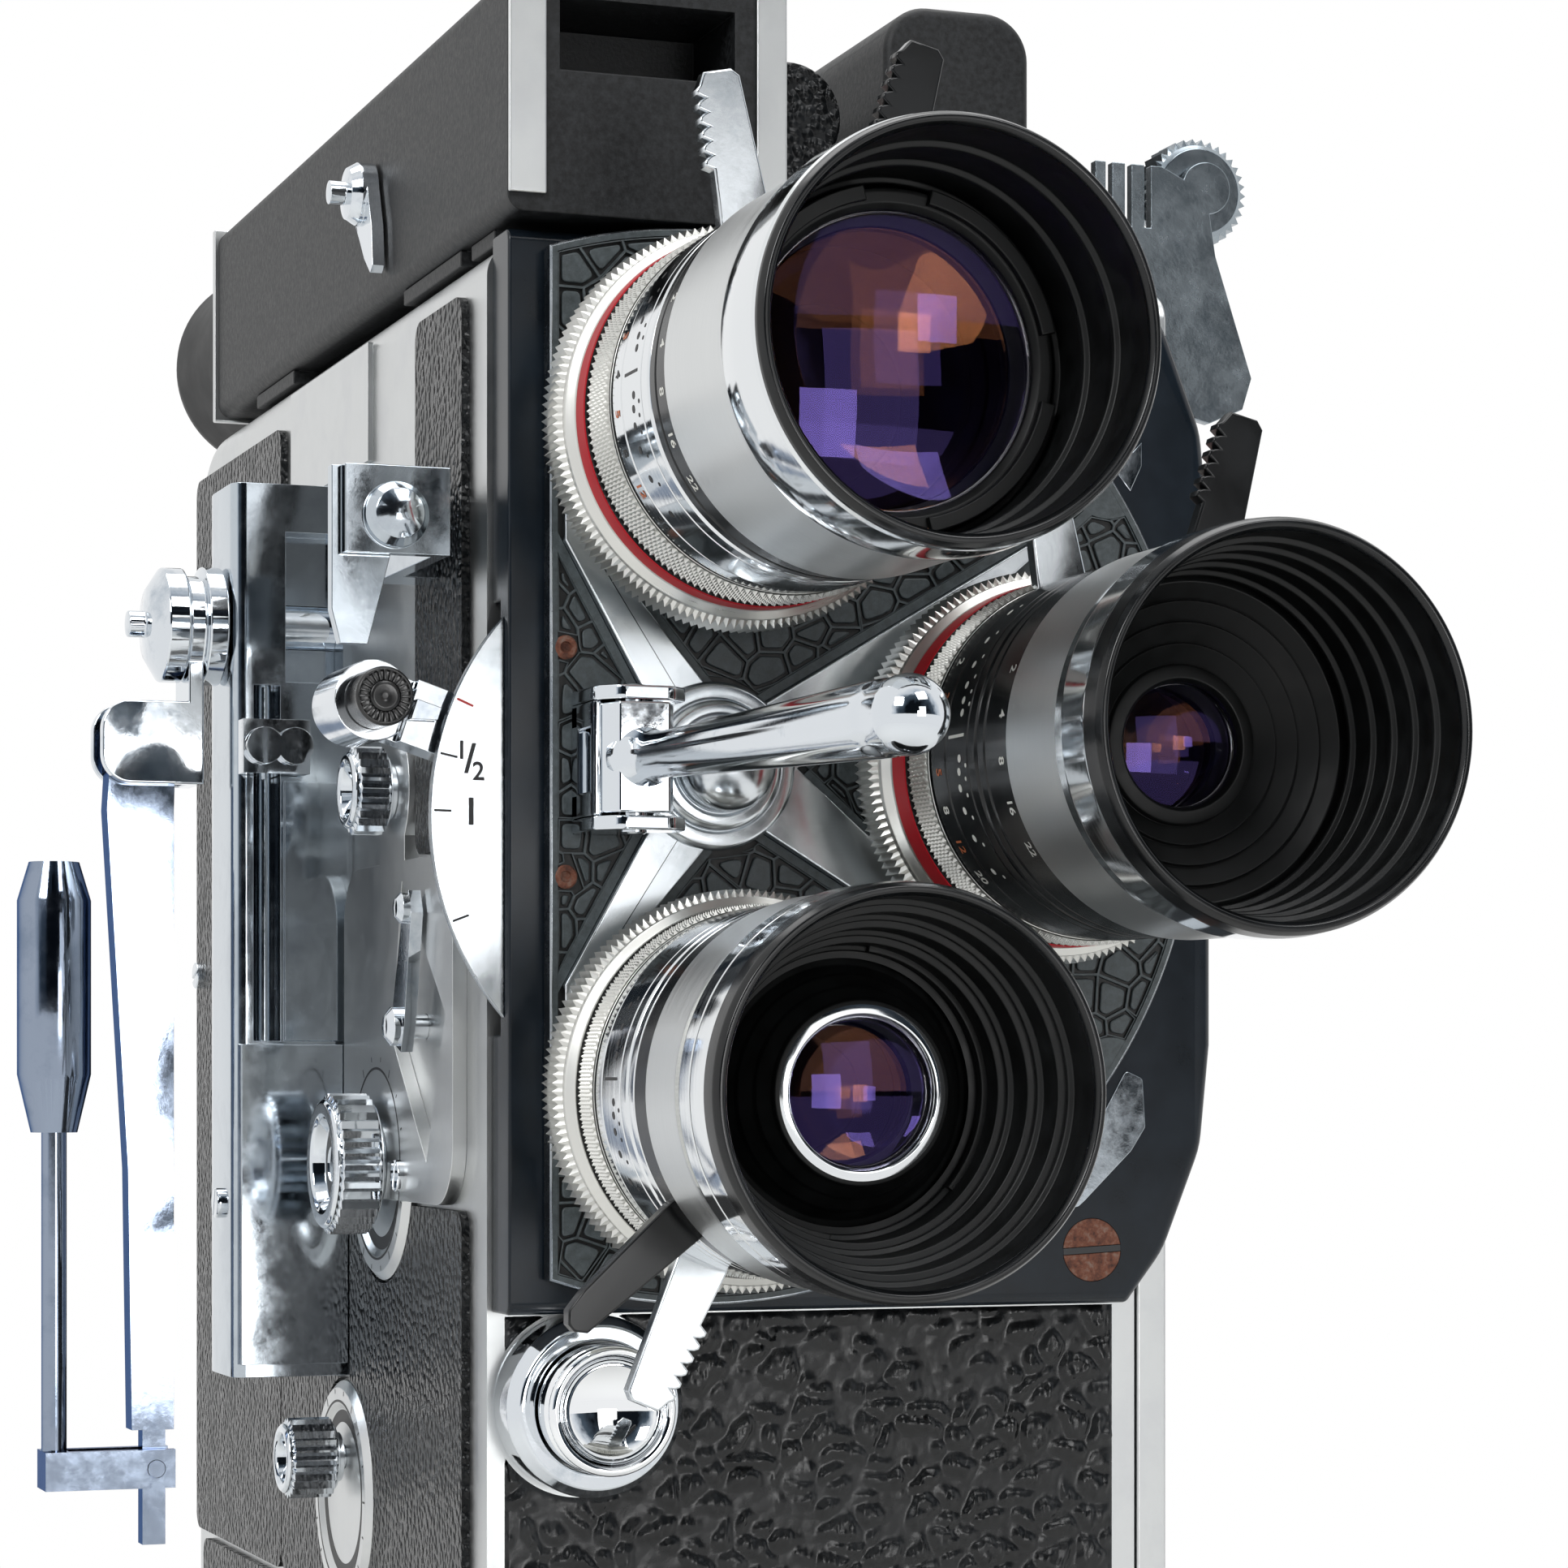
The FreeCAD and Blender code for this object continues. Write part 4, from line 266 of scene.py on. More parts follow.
# Black-anodised aluminium of the iris and scale rings
LENS_BLACK = coated("lens_black", "#08090a", "#121416", 0.16, 0.26, 0.0, 0.8, 0.004, 6, 0.4)
# Matt black lining of the hoods, with faint dusty patches
HOOD_BLACK = coated("hood_black", "#070808", "#101213", 0.42, 0.58, 0.0, 0.4, 0.01, 2.5, 0.35)
# Red enamel filled into the ring of the two longer lenses
RED = coated("red_enamel", "#980b19", "#a8101f", 0.4, 0.5, 0.0, 0.8, 0.004, 6, 0.2)
# Crinkle paint on the finder: a dull, sandy black
CRINKLE = coated("crinkle_paint", "#08090a", "#222426", 0.42, 0.6, 0.0, 0.45, 0.09, 0.55, 0.3)
# Moulded rubber of the eyecups, greyed by age
RUBBER = coated("moulded_rubber", "#101112", "#1e1f20", 0.55, 0.75, 0.0, 0.5, 0.02)
# Bakelite of the shutter knob
BAKELITE = coated("black_bakelite", "#0b0b0c", "#161617", 0.2, 0.4, 0.2, 0.5, 0.01)
# Black lacquer that lines the case
LACQUER = coated("case_lacquer", "#141517", "#1f2022", 0.3, 0.45, 0.1, 0.9, 0.01)
# Vinyl leatherette: the front one has its grain in the mesh, the side one has a finer pebble
FRONT_LEATHER = pebbled_leather("front_leather", 0.05, 1.4, 1.6, 0.4)
SIDE_LEATHER = pebbled_leather("side_leather", 0.45, 0.85, 0.7, 0.25)
CRACKLE = crackle_with_painted_groove_shade()
RUST = rusty_steel()
# Paint wiped into engraved marks
INK = coated("scale_ink", "#0a0a0b", "#111112", 0.45, 0.5, 0.0, 0.4, 0.002)
RED_INK = coated("red_ink", "#9a1a1a", "#a82420", 0.45, 0.5, 0.0, 0.4, 0.002)
AMBER_INK = coated("amber_ink", "#a8562c", "#b4643a", 0.45, 0.5, 0.0, 0.4, 0.002)
WHITE_INK = coated("white_ink", "#c9c9c4", "#d8d8d2", 0.45, 0.5, 0.0, 0.4, 0.002)
# Front elements: magnesium fluoride on crown glass reads violet, and amber on the dense glass behind it
VIOLET_GLASS = coated_glass("violet_coated_glass", "#9c86f2", "#e4e2ee", 1.52)
AMBER_GLASS = coated_glass("amber_coated_glass", "#f09a62", "#e9e4dc", 1.6)


# Mesh helpers

def facing(direction, at=(0, 0, 0), roll=0):
    """Stands a shape's own z along a direction, with its y as near to up as can be."""
    z = Vector(direction).normalized()
    up = Vector((0, 1, 0)) if abs(z.z) > 0.99 else Vector((0, 0, 1))
    y = (up - z * up.dot(z)).normalized()
    x = y.cross(z)
    turn = Matrix((x, y, z)).transposed().to_4x4()
    return Matrix.Translation(Vector(at)) @ turn @ Matrix.Rotation(math.radians(roll), 4, "Z")


FORWARD, REARWARD, LEFTWARD, UPWARD = (0, -1, 0), (0, 1, 0), (-1, 0, 0), (0, 0, 1)


class Shell:
    """Corners and faces gathered into one mesh, with a finish number for each face."""

    def __init__(self):
        self.corners, self.faces, self.finish, self.count = [], [], [], 0

    def add(self, shape, finish=None, turn=None):
        corners, faces, marks = shape
        corners = np.asarray(corners, float)
        if turn is not None:
            corners = corners @ np.array(turn.to_3x3()).T + np.array(turn.translation)
        self.corners.append(corners)
        self.faces += [[index + self.count for index in face] for face in faces]
        self.finish += [finish] * len(faces) if finish is not None else list(marks)
        self.count += len(corners)
        return self

    def shape(self):
        return np.concatenate(self.corners), self.faces, self.finish

    def piece(self, name, body, slot, materials, replaces=(), sharp=38):
        mesh = bpy.data.meshes.new(name)
        corners, faces, _ = self.shape()
        mesh.from_pydata((corners * MM).tolist(), [], faces)
        mesh.polygons.foreach_set("material_index", self.finish)
        shape = bmesh.new()
        shape.from_mesh(mesh)
        bmesh.ops.remove_doubles(shape, verts=shape.verts, dist=2e-6)
        bmesh.ops.recalc_face_normals(shape, faces=shape.faces)
        shape.to_mesh(mesh)
        shape.free()
        finished(name, mesh, body, materials, replaces, sharp)


def finished(name, mesh, body, materials, replaces=(), sharp=38, even=True):
    """Makes a piece of a mesh, smooth between its sharp edges, that rides on a body."""
    mesh.shade_smooth()
    mesh.set_sharp_from_angle(angle=math.radians(sharp))
    made = bpy.data.objects.new(name, mesh)
    bpy.context.scene.collection.objects.link(made)
    for material in materials:
        mesh.materials.append(material)
    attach(made, body)
    if replaces:
        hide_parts(*replaces)
    if even:
        # Large flat faces stay flat beside their rounded edges
        flat = made.modifiers.new("flat_faces", "WEIGHTED_NORMAL")
        flat.keep_sharp = True
        flat.weight = 90
    return made


def corners_of(node):
    """The low and high corner of a solid, in millimetres."""
    return (Vector(corner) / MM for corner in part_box(node))


def eased(profile, radius=0.15, steps=3):
    """Rounds each inner corner of a (radius, height, finish) outline with a short arc."""
    made = [profile[0]]
    for before, here, after in zip(profile, profile[1:], profile[2:]):
        point = Vector(here[:2])
        back, ahead = Vector(before[:2]) - point, Vector(after[:2]) - point
        reach = min(radius, back.length * 0.45, ahead.length * 0.45)
        if reach < 0.01 or back.angle(ahead, math.pi) > math.radians(172):
            made.append(here)
            continue
        start, end = point + back.normalized() * reach, point + ahead.normalized() * reach
        for step in range(steps + 1):
            t = step / steps
            x, y = start * (1 - t) ** 2 + point * 2 * t * (1 - t) + end * t ** 2
            made.append((x, y, before[2] if step < steps else here[2]))
    return made + [profile[-1]]


def circle(radius, angles, height):
    """One ring of corners, with one radius or a radius for each angle."""
    return np.stack([radius * np.cos(angles), radius * np.sin(angles), np.full(len(angles), height)], 1)


def walls(rings, sides):
    """The faces between closed rings of corners that follow one another."""
    return [(low + side, low + (side + 1) % sides, low + sides + (side + 1) % sides, low + sides + side)
            for low in range(0, (rings - 1) * sides, sides) for side in range(sides)]


def turned(profile, sides=96):
    """A shape turned about its own z from (radius, height, finish) points."""
    angles = np.arange(sides) * 2 * math.pi / sides
    rings = [circle(radius, angles, height) for radius, height, _ in profile]
    marks = [finish for _, _, finish in profile[:-1] for _ in range(sides)]
    return np.concatenate(rings), walls(len(rings), sides), marks


def ridged(radius, low, high, teeth, depth, bevel=0.35, finish=0):
    """A ring of straight V-shaped ridges, chamfered at both ends, as a knurling tool leaves it."""
    sides = teeth * 4
    angles = np.arange(sides) * 2 * math.pi / sides
    saw = np.tile([0.0, 0.55, 1.0, 0.55], teeth)
    rings = [circle(radius - depth * np.maximum(saw, min(share, 1)) - depth * max(share - 1, 0), angles, height)
             for height, share in [(low, 1.6), (low + bevel, 0.0), (high - bevel, 0.0), (high, 1.6)]]
    return np.concatenate(rings), walls(4, sides), [finish] * 3 * sides


def diamonds(radius, low, high, teeth, rows, depth, finish=0):
    """A diamond knurl: rows of small four-sided pyramids round a ring."""
    sides, levels = teeth * 2, rows * 2
    angles = np.arange(sides) * 2 * math.pi / sides
    rings, faces = [], []
    for level in range(levels + 1):
        peak = ((np.arange(sides) + level) % 2 == 0) & (0 < level < levels)
        rings.append(circle(np.where(peak, radius, radius - depth), angles, low + (high - low) * level / levels))
    for number, (a, b, c, d) in enumerate(walls(levels + 1, sides)):
        level, side = divmod(number, sides)
        faces += [(a, b, d), (b, c, d)] if (side + level) % 2 == 0 else [(a, b, c), (a, c, d)]
    return np.concatenate(rings), faces, [finish] * len(faces)


def inset(outline, width):
    """Moves every side of an outline inwards by the same width."""
    points = np.asarray(outline, float)
    ahead = np.roll(points, -1, 0) - points
    ahead /= np.linalg.norm(ahead, axis=1)[:, None]
    side = np.stack([-ahead[:, 1], ahead[:, 0]], 1)
    before = np.roll(side, 1, 0)
    share = 1 + (side * before).sum(1)
    area = np.sum(points[:, 0] * np.roll(points[:, 1], -1) - np.roll(points[:, 0], -1) * points[:, 1])
    return points + math.copysign(width, area) * (side + before) / np.maximum(share, 0.35)[:, None]


def moulding(outline, levels, finish=0, edge_finish=None, caps="low high"):
    """A closed outline carried through (inset, height) levels, capped below, above or at both ends."""
    points = np.asarray(outline, float)
    count = len(points)
    rings = [np.column_stack([inset(points, width) if width else points, np.full(count, height)])
             for width, height in levels]
    faces = walls(len(rings), count)
    marks = [finish if edge_finish is None else edge_finish] * len(faces)
    if "low" in caps:
        faces.insert(0, tuple(reversed(range(count))))
        marks.insert(0, finish)
    if "high" in caps:
        faces.append(tuple((len(rings) - 1) * count + index for index in range(count)))
        marks.append(finish)
    return np.concatenate(rings), faces, marks


def plate(outline, low, high, edge=0.2, finish=0, edge_finish=None, both=False):
    """A flat piece with a rounded rim on its high side, or on both."""
    rim = [(edge * (1 - math.cos(a)), high - edge * (1 - math.sin(a))) for a in (0, 0.45, 0.95, 1.5708)]
    below = [(width, low + high - height) for width, height in reversed(rim)] if both else [(0.0, low)]
    return moulding(outline, below + rim, finish, edge_finish)


def block(low, high, edge=0.3, steps=2, finish=0):
    """A box between two corners with every edge rounded."""
    shape = bmesh.new()
    bmesh.ops.create_cube(shape, size=1)
    low, high = Vector(low), Vector(high)
    for vert in shape.verts:
        vert.co = Vector([(low[i] + high[i]) / 2 + vert.co[i] * (high[i] - low[i]) for i in range(3)])
    bmesh.ops.bevel(shape, geom=shape.edges[:], offset=edge, segments=steps, profile=0.6, affect="EDGES",
                    clamp_overlap=True)
    shape.verts.index_update()
    corners = [tuple(vert.co) for vert in shape.verts]
    faces = [tuple(vert.index for vert in face.verts) for face in shape.faces]
    shape.free()
    return corners, faces, [finish] * len(faces)


def arc(radius, start, end, steps, centre=(0, 0)):
    """Points on a circle between two angles in degrees."""
    return [(centre[0] + radius * math.cos(math.radians(start + (end - start) * i / steps)),
             centre[1] + radius * math.sin(math.radians(start + (end - start) * i / steps)))
            for i in range(steps + 1)]


def rounded_outline(points, radii, steps=6):
    """An outline with its corners rounded, each by its own radius."""
    made = []
    count = len(points)
    for index in range(count):
        radius = radii[index] if isinstance(radii, (list, tuple)) else radii
        point = Vector(points[index])
        back, ahead = Vector(points[index - 1]) - point, Vector(points[(index + 1) % count]) - point
        reach = min(radius / math.tan(back.angle(ahead) / 2), back.length * 0.48, ahead.length * 0.48)
        if reach < 0.02:
            made.append(tuple(point))
            continue
        start, end = point + back.normalized() * reach, point + ahead.normalized() * reach
        for step in range(steps + 1):
            t = step / steps
            made.append(tuple(start * (1 - t) ** 2 + point * 2 * t * (1 - t) + end * t ** 2))
    return made


def figures(text, tall):
    """Plain figures as a flat mesh, centred on the origin."""
    curve = bpy.data.curves.new("figures", "FONT")
    curve.body = text
    curve.size = tall * 1.4
    curve.align_x = "CENTER"
    curve.align_y = "CENTER"
    curve.resolution_u = 3
    curve.offset = tall * 0.025
    holder = bpy.data.objects.new("figures", curve)
    mesh = bpy.data.meshes.new_from_object(holder)
    corners = np.array([tuple(vert.co) for vert in mesh.vertices])
    faces = [tuple(face.vertices) for face in mesh.polygons]
    bpy.data.meshes.remove(mesh)
    bpy.data.objects.remove(holder)
    bpy.data.curves.remove(curve)
    return corners, faces, [0] * len(faces)


def wrapped(shape, radius, angle, height, finish=0):
    """Lays a flat mark on a ring: its x runs round the ring and its y along the axis."""
    corners, faces, _ = shape
    corners = np.asarray(corners, float)
    turn = math.radians(angle) + corners[:, 0] / radius
    made = np.stack([radius * np.cos(turn), radius * np.sin(turn), height + corners[:, 1]], 1)
    return made, faces, [finish] * len(faces)


def dot(radius, squash=1.0, sides=12):
    """A flat round or oval mark."""
    points = [(radius * squash * math.cos(a), radius * math.sin(a), 0)
              for a in np.arange(sides) * 2 * math.pi / sides]
    return points, [tuple(range(sides))], [0]


def softened(node, material, width=0.3, sharp=30, keep=None):
    """A copy of a solid, or of a part of it, with its flat faces joined and its sharp edges rounded."""
    source = frame["nodes"][node]
    shape = bmesh.new()
    shape.from_mesh(source.data)
    bmesh.ops.remove_doubles(shape, verts=shape.verts, dist=2e-6)
    bmesh.ops.dissolve_limit(shape, angle_limit=math.radians(1.5), verts=shape.verts, edges=shape.edges)
    if keep:
        bmesh.ops.delete(shape, geom=[v for v in shape.verts if not keep(v.co / MM)], context="VERTS")
    mesh = bpy.data.meshes.new(node + "_soft")
    shape.to_mesh(mesh)
    shape.free()
    for attribute in [a.name for a in mesh.attributes if a.name in ("custom_normal", "UVMap")]:
        mesh.attributes.remove(mesh.attributes[attribute])
    made = finished(mesh.name, mesh, source["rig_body"], [material], [node], sharp, even=False)
    for face in mesh.polygons:
        face.material_index = 0
    bevel = made.modifiers.new("rounded_edges", "BEVEL")
    bevel.width = width * MM
    bevel.segments = 2
    bevel.limit_method = "ANGLE"
    bevel.angle_limit = math.radians(sharp)
    bevel.harden_normals = True


# Lenses. Distances run forward from the turret's face along each lens axis.

LENSES = {
    "top": {"x": HUB_X, "z": HUB_Z + LENS_CIRCLE, "focus": (14.8, 24.2), "iris": (32.2, 37.0), "name": 51.9,
            "front": 61.9, "glass": 45.9, "glass_radius": 12.4, "cell": 13.8, "turn": 0, "red": True,
            "knurl_end": 20.8, "band": "chrome"},
    "right": {"x": HUB_X + LENS_CIRCLE, "z": HUB_Z, "focus": (15.4, 24.0), "iris": (31.4, 38.4), "name": 49.1,
              "front": 58.6, "glass": 37.1, "glass_radius": 5.4, "cell": 13.8, "turn": 0, "red": True,
              "knurl_end": 19.8, "band": "black"},
    "bottom": {"x": HUB_X, "z": HUB_Z - LENS_CIRCLE, "focus": (12.4, 18.6), "iris": (26.4, 32.0), "name": 40.3,
               "front": 51.3, "glass": 38.3, "glass_radius": 6.3, "cell": 10.8, "turn": 145, "red": False,
               "knurl_end": 15.9, "band": "chrome"},
}
MOUNT_R, KNURL_R, RING_R, NECK_R, BAND_R, NAME_R, HOOD_R = 15.4, 18.3, 16.8, 15.06, 16.5, 16.9, 17.3
LEVER_REACH = 30
TEETH = 150


def lens_axis(lens):
    return facing(FORWARD, (lens["x"], TURRET_Y, lens["z"]))


def barrel(key, lens):
    """Screw mount, knurled collar, red ring, depth band and the cell that the glass sits in."""
    shell = Shell()
    axis = lens_axis(lens)
    focus_back, focus_front = lens["focus"]
    iris_back, iris_front = lens["iris"]
    metal, red, chrome, black, lining = range(5)
    band = chrome if lens["band"] == "chrome" else black
    collar = [(MOUNT_R, 0, metal), (MOUNT_R, 5.7, metal), (KNURL_R - 0.9, 6.1, metal), (KNURL_R - 0.9, 10.4, metal),
              (KNURL_R - 0.75, 10.6, metal), (KNURL_R - 0.75, 11.3, metal), (RING_R, 12.0, metal),
              (RING_R, 12.3, red if lens["red"] else metal), (RING_R, focus_back - 0.2, black),
              (NECK_R - 0.1, focus_back - 0.2, black), (NECK_R - 0.1, focus_front + 0.15, black),
              (BAND_R - 0.25, focus_front + 0.15, band), (BAND_R, focus_front + 0.4, band)]
    split = focus_front + (iris_back - focus_front) * 0.72
    collar += [(BAND_R, split - 0.12, black), (BAND_R - 0.15, split, band), (BAND_R, split + 0.12, band),
               (BAND_R, iris_back - 0.45, band), (BAND_R - 0.25, iris_back - 0.2, black),
               (NECK_R - 0.1, iris_back - 0.2, black), (NECK_R - 0.1, iris_front + 2.6, black)]
    shell.add(turned(eased(collar, 0.12), 160), turn=axis)
    shell.add(ridged(KNURL_R, 6.1, 10.4, TEETH, 0.55, 0.5, metal), turn=axis)
    glass, radius, cell = lens["glass"], lens["glass_radius"], lens["cell"]
    neck_end = iris_front + 2.7
    if key == "top":
        seat = [(cell + 0.3, neck_end - 1, lining), (cell + 0.3, glass + 0.7, lining), (cell, glass + 0.8, lining),
                (radius + 0.5, glass + 0.8, lining), (radius, glass + 0.3, lining), (radius, glass - 3, lining),
                (radius - 1.4, glass - 3.2, lining), (radius - 2.2, glass - 12, lining),
                (radius - 6, glass - 16, lining), (radius - 6, glass - 30, lining)]
        shell.add(turned(eased(seat, 0.1), 96), turn=axis)
        ring_r = radius + 1.2
        for number in range(4):
            start, end = number * 90 + 12, number * 90 + 78
            outline = arc(ring_r + 0.75, start, end, 24) + arc(ring_r - 0.5, end, start, 24)
            shell.add(plate(outline, glass + 0.4, glass + 1.5, 0.15), lining, axis)
    else:
        steps = 4 if key == "right" else 3
        seat = [(cell + 1.2, neck_end - 1, lining), (cell, neck_end - 0.4, lining)]
        for number in range(steps):
            share = (number + 1) / steps
            r = cell + (radius + 1.3 - cell) * share
            floor = neck_end - 0.4 + (glass + 0.9 - neck_end + 0.4) * share
            seat += [(r + 0.35, floor - 0.5, lining), (r + 0.2, floor, lining)]
        shine = chrome if key == "bottom" else lining
        seat += [(radius + 1.1, glass + 1.0, shine), (radius + 0.35, glass + 1.15, shine),
                 (radius, glass + 0.6, lining), (radius, glass - 3, lining), (radius - 1.2, glass - 3.2, lining),
                 (radius - 1.4, glass - 9, lining), (radius - 3.4, glass - 10, lining),
                 (radius - 3.4, glass - 24, lining)]
        shell.add(turned(eased(seat, 0.12), 96), turn=axis)
    marks_on_band(shell, lens, axis, BAND_R, focus_front, split, 5)
    shell.piece("barrel_" + key, "turret", "satin_aluminium",
                [TURNED, RED, POLISHED, LENS_BLACK, HOOD_BLACK, WHITE_INK if band == black else INK],
                ["lens_barrel_" + key])


def marks_on_band(shell, lens, axis, radius, low, high, finish):
    """Index line, and depth-of-field dots that spread out on both sides of it."""
    middle = (low + high) / 2
    for number, spread in enumerate([7, 11, 16, 23, 32, 44]):
        for side in (-1, 1):
            angle = 176 + side * spread
            height = middle + 0.9 - 0.28 * number
            shell.add(wrapped(dot(0.36), radius + 0.02, angle, height), finish, axis)
            shell.add(wrapped(dot(0.2), radius + 0.02, angle + side * 2.4, height + 1.3), finish, axis)
    line = [(-0.14, -1.6, 0), (0.14, -1.6, 0), (0.14, 1.9, 0), (-0.14, 1.9, 0)]
    shell.add(wrapped((line, [(0, 1, 2, 3)], [0]), radius + 0.02, 176, middle), finish, axis)


def finger_lever(shell, angle, root, at, thick, notched, finish):
    """A bar that stands out from a ring, with rounded steps filed along one side for the finger."""
    half = 2.1
    side = []
    if notched:
        count = 6
        pitch = 1.25
        for step in range(count):
            r = LEVER_REACH - 1.1 - step * pitch
            out = -half - 0.1 * step
            side += [(out + 0.1, r), (out - 0.28, r - 0.3), (out - 0.3, r - 0.75), (out + 0.45, r - pitch + 0.1)]
        tip = [(half - 0.2, LEVER_REACH - 0.7), (half - 0.9, LEVER_REACH), (-half + 0.7, LEVER_REACH)]
        outline = [(-half - 0.5, root), (half + 0.2, root)] + tip + side
    else:
        outline = [(-half, root), (half, root), (half - 0.5, LEVER_REACH - 3), (half - 0.9, LEVER_REACH - 0.8),
                   (half - 1.8, LEVER_REACH), (-half + 1.6, LEVER_REACH), (-half + 0.7, LEVER_REACH - 0.8)]
    roll = Matrix.Rotation(math.radians(angle), 4, "Z")
    shell.add(plate(outline, at - thick / 2, at + thick / 2, 0.22, both=True), finish, roll)


def focus_ring(key, lens):
    """Diamond-knurled grip, a black gap, the scale ring and its bright stepped lever."""
    shell = Shell()
    axis = lens_axis(lens)
    back, front = lens["focus"]
    knurl_end = lens["knurl_end"]
    metal, gap, scale, mark, amber, lever = range(6)
    base = [(NECK_R, back, metal), (RING_R - 0.5, back, metal), (RING_R - 0.5, knurl_end, gap),
            (RING_R - 0.9, knurl_end + 0.05, gap), (RING_R - 0.9, knurl_end + 0.6, scale),
            (RING_R - 0.5, knurl_end + 0.7, scale), (RING_R - 0.45, front - 0.3, scale),
            (RING_R - 0.6, front, scale), (NECK_R, front, scale)]
    shell.add(turned(eased(base, 0.08), 160), turn=axis)
    shell.add(diamonds(RING_R, back + 0.1, knurl_end - 0.05, TEETH, 5, 0.42, metal), turn=axis)
    loose = Shell()
    for number, text in enumerate(["2", "3", "4", "5", "8", "12", "20"]):
        loose.add(wrapped(figures(text, 1.15), RING_R - 0.43, 150 + number * 12 + lens["turn"],
                          (knurl_end + 0.7 + front) / 2), amber if number % 2 else mark)
    finger_lever(loose, lens["turn"] + 12, RING_R - 0.8, (back + front) / 2, 1.7, True, lever)
    shell.add(loose.shape(), turn=axis)
    finishes = [POLISHED, INK] if lens["band"] == "chrome" else [LENS_BLACK, WHITE_INK]
    shell.piece("focus_" + key, "focus_ring_" + key, "satin_aluminium",
                [TURNED, LENS_BLACK, *finishes, AMBER_INK, SATIN_CHROME], ["focus_ring_" + key])


def iris_ring(key, lens):
    """The black ring that turns the diaphragm, with its dark tapered lever."""
    shell = Shell()
    axis = lens_axis(lens)
    back, front = lens["iris"]
    black, mark, chrome = range(3)
    radius = RING_R - 0.3
    lead = chrome if key == "bottom" else black
    outline = [(NECK_R, back, black), (radius - 0.3, back, lead), (radius, back + 0.3, lead),
               (radius, back + 1.6, black), (radius - 0.25, back + 1.8, black), (radius, back + 2.0, black),
               (radius, front - 0.35, black), (radius - 0.35, front, black), (NECK_R, front, black)]
    shell.add(turned(eased(outline, 0.1), 160), turn=axis)
    for number, text in enumerate(["2", "4", "8", "16", "22"]):
        shell.add(wrapped(figures(text, 1.1), radius + 0.02, 158 + number * 14 + lens["turn"], front - 1.6),
                  mark, axis)
    levers = Shell()
    finger_lever(levers, lens["turn"] - 14, radius - 0.8, (back + front) / 2, 1.7, key != "bottom", black)
    shell.add(levers.shape(), turn=axis)
    shell.piece("iris_" + key, "iris_ring_" + key, "black_enamel",
                [LENS_BLACK, WHITE_INK, POLISHED], ["iris_ring_" + key])


def hood(key, lens):
    """The bright front ring, its polished bevel and the black hood with its baffle ridges."""
    shell = Shell()
    axis = lens_axis(lens)
    name_front, rim = lens["name"], lens["front"]
    start = lens["iris"][1] + 0.2
    neck_end = lens["iris"][1] + 2.8
    bright, chrome, black, lining = range(4)
    mouth = HOOD_R - 1.3
    cell = lens["cell"] + 0.6
    outside = [(NECK_R, start, bright), (NAME_R - 0.3, start, bright), (NAME_R, start + 0.3, bright),
               (NAME_R, name_front, chrome), (HOOD_R - 0.05, name_front + 2.2, chrome)]
    if key == "bottom":
        outside += [(HOOD_R - 0.05, name_front + 4.6, black), (HOOD_R - 0.2, name_front + 4.8, chrome),
                    (HOOD_R, name_front + 5.1, chrome), (HOOD_R, name_front + 8.6, black)]
    elif key == "right":
        outside += [(HOOD_R + 0.02, name_front + 6.4, chrome), (HOOD_R, name_front + 6.8, black)]
    else:
        outside += [(HOOD_R + 0.12, name_front + 4.6, chrome), (HOOD_R, rim - 1.6, chrome),
                    (HOOD_R - 0.15, rim - 1.3, black)]
    outside += [(HOOD_R - 0.15, rim - 0.7, black), (HOOD_R - 0.5, rim, black), (mouth + 0.35, rim, black),
                (mouth, rim - 0.5, lining)]
    ridges = {"top": 4, "right": 5, "bottom": 4}[key]
    depth = rim - 1.6 - neck_end
    inside = []
    for number in range(ridges):
        share = number / ridges
        r = mouth - (mouth - cell) * share
        high = rim - 1.6 - depth * share
        low = high - depth / ridges
        inside += [(r, high, lining), (r - 0.05, low + 0.9, lining), (r - 0.55, low + 0.75, lining),
                   (r - 0.6, low + 0.35, lining), (r - 0.15, low + 0.15, lining)]
    inside += [(cell, neck_end, lining)]
    shell.add(turned(eased(outside + inside, 0.14), 160), turn=axis)
    if key == "bottom":
        for number in range(2):
            start, end = number * 180 - 62, number * 180 + 62
            ring = plate(arc(12.9, start, end, 30) + arc(12.0, end, start, 30), neck_end + 0.2, neck_end + 1.5, 0.15)
            shell.add(Shell().add(ring, lining, Matrix.Rotation(math.radians(20), 4, "Z")).shape(), turn=axis)
    shell.piece("hood_" + key, "turret", "satin_aluminium", [FROSTED, POLISHED, LENS_BLACK, HOOD_BLACK],
                ["lens_hood_" + key])


def glass_elements(name, material, shrink, behind, bulge, steps, sides, back, replaces=()):
    """One element of each lens, with a round face and a flatter back drawn as (share of radius, depth)."""
    shell = Shell()
    for lens in LENSES.values():
        radius, at = lens["glass_radius"] - shrink, lens["glass"] - behind
        face = [(radius * t, at + radius * bulge * (1 - t * t), 0) for t in np.linspace(0, 1, steps)]
        rear = [(radius * share, at - depth, 0) for share, depth in back]
        shell.add(turned(face + rear, sides), 0, lens_axis(lens))
    shell.piece(name, "turret", "lens_glass", [material], replaces, sharp=60)


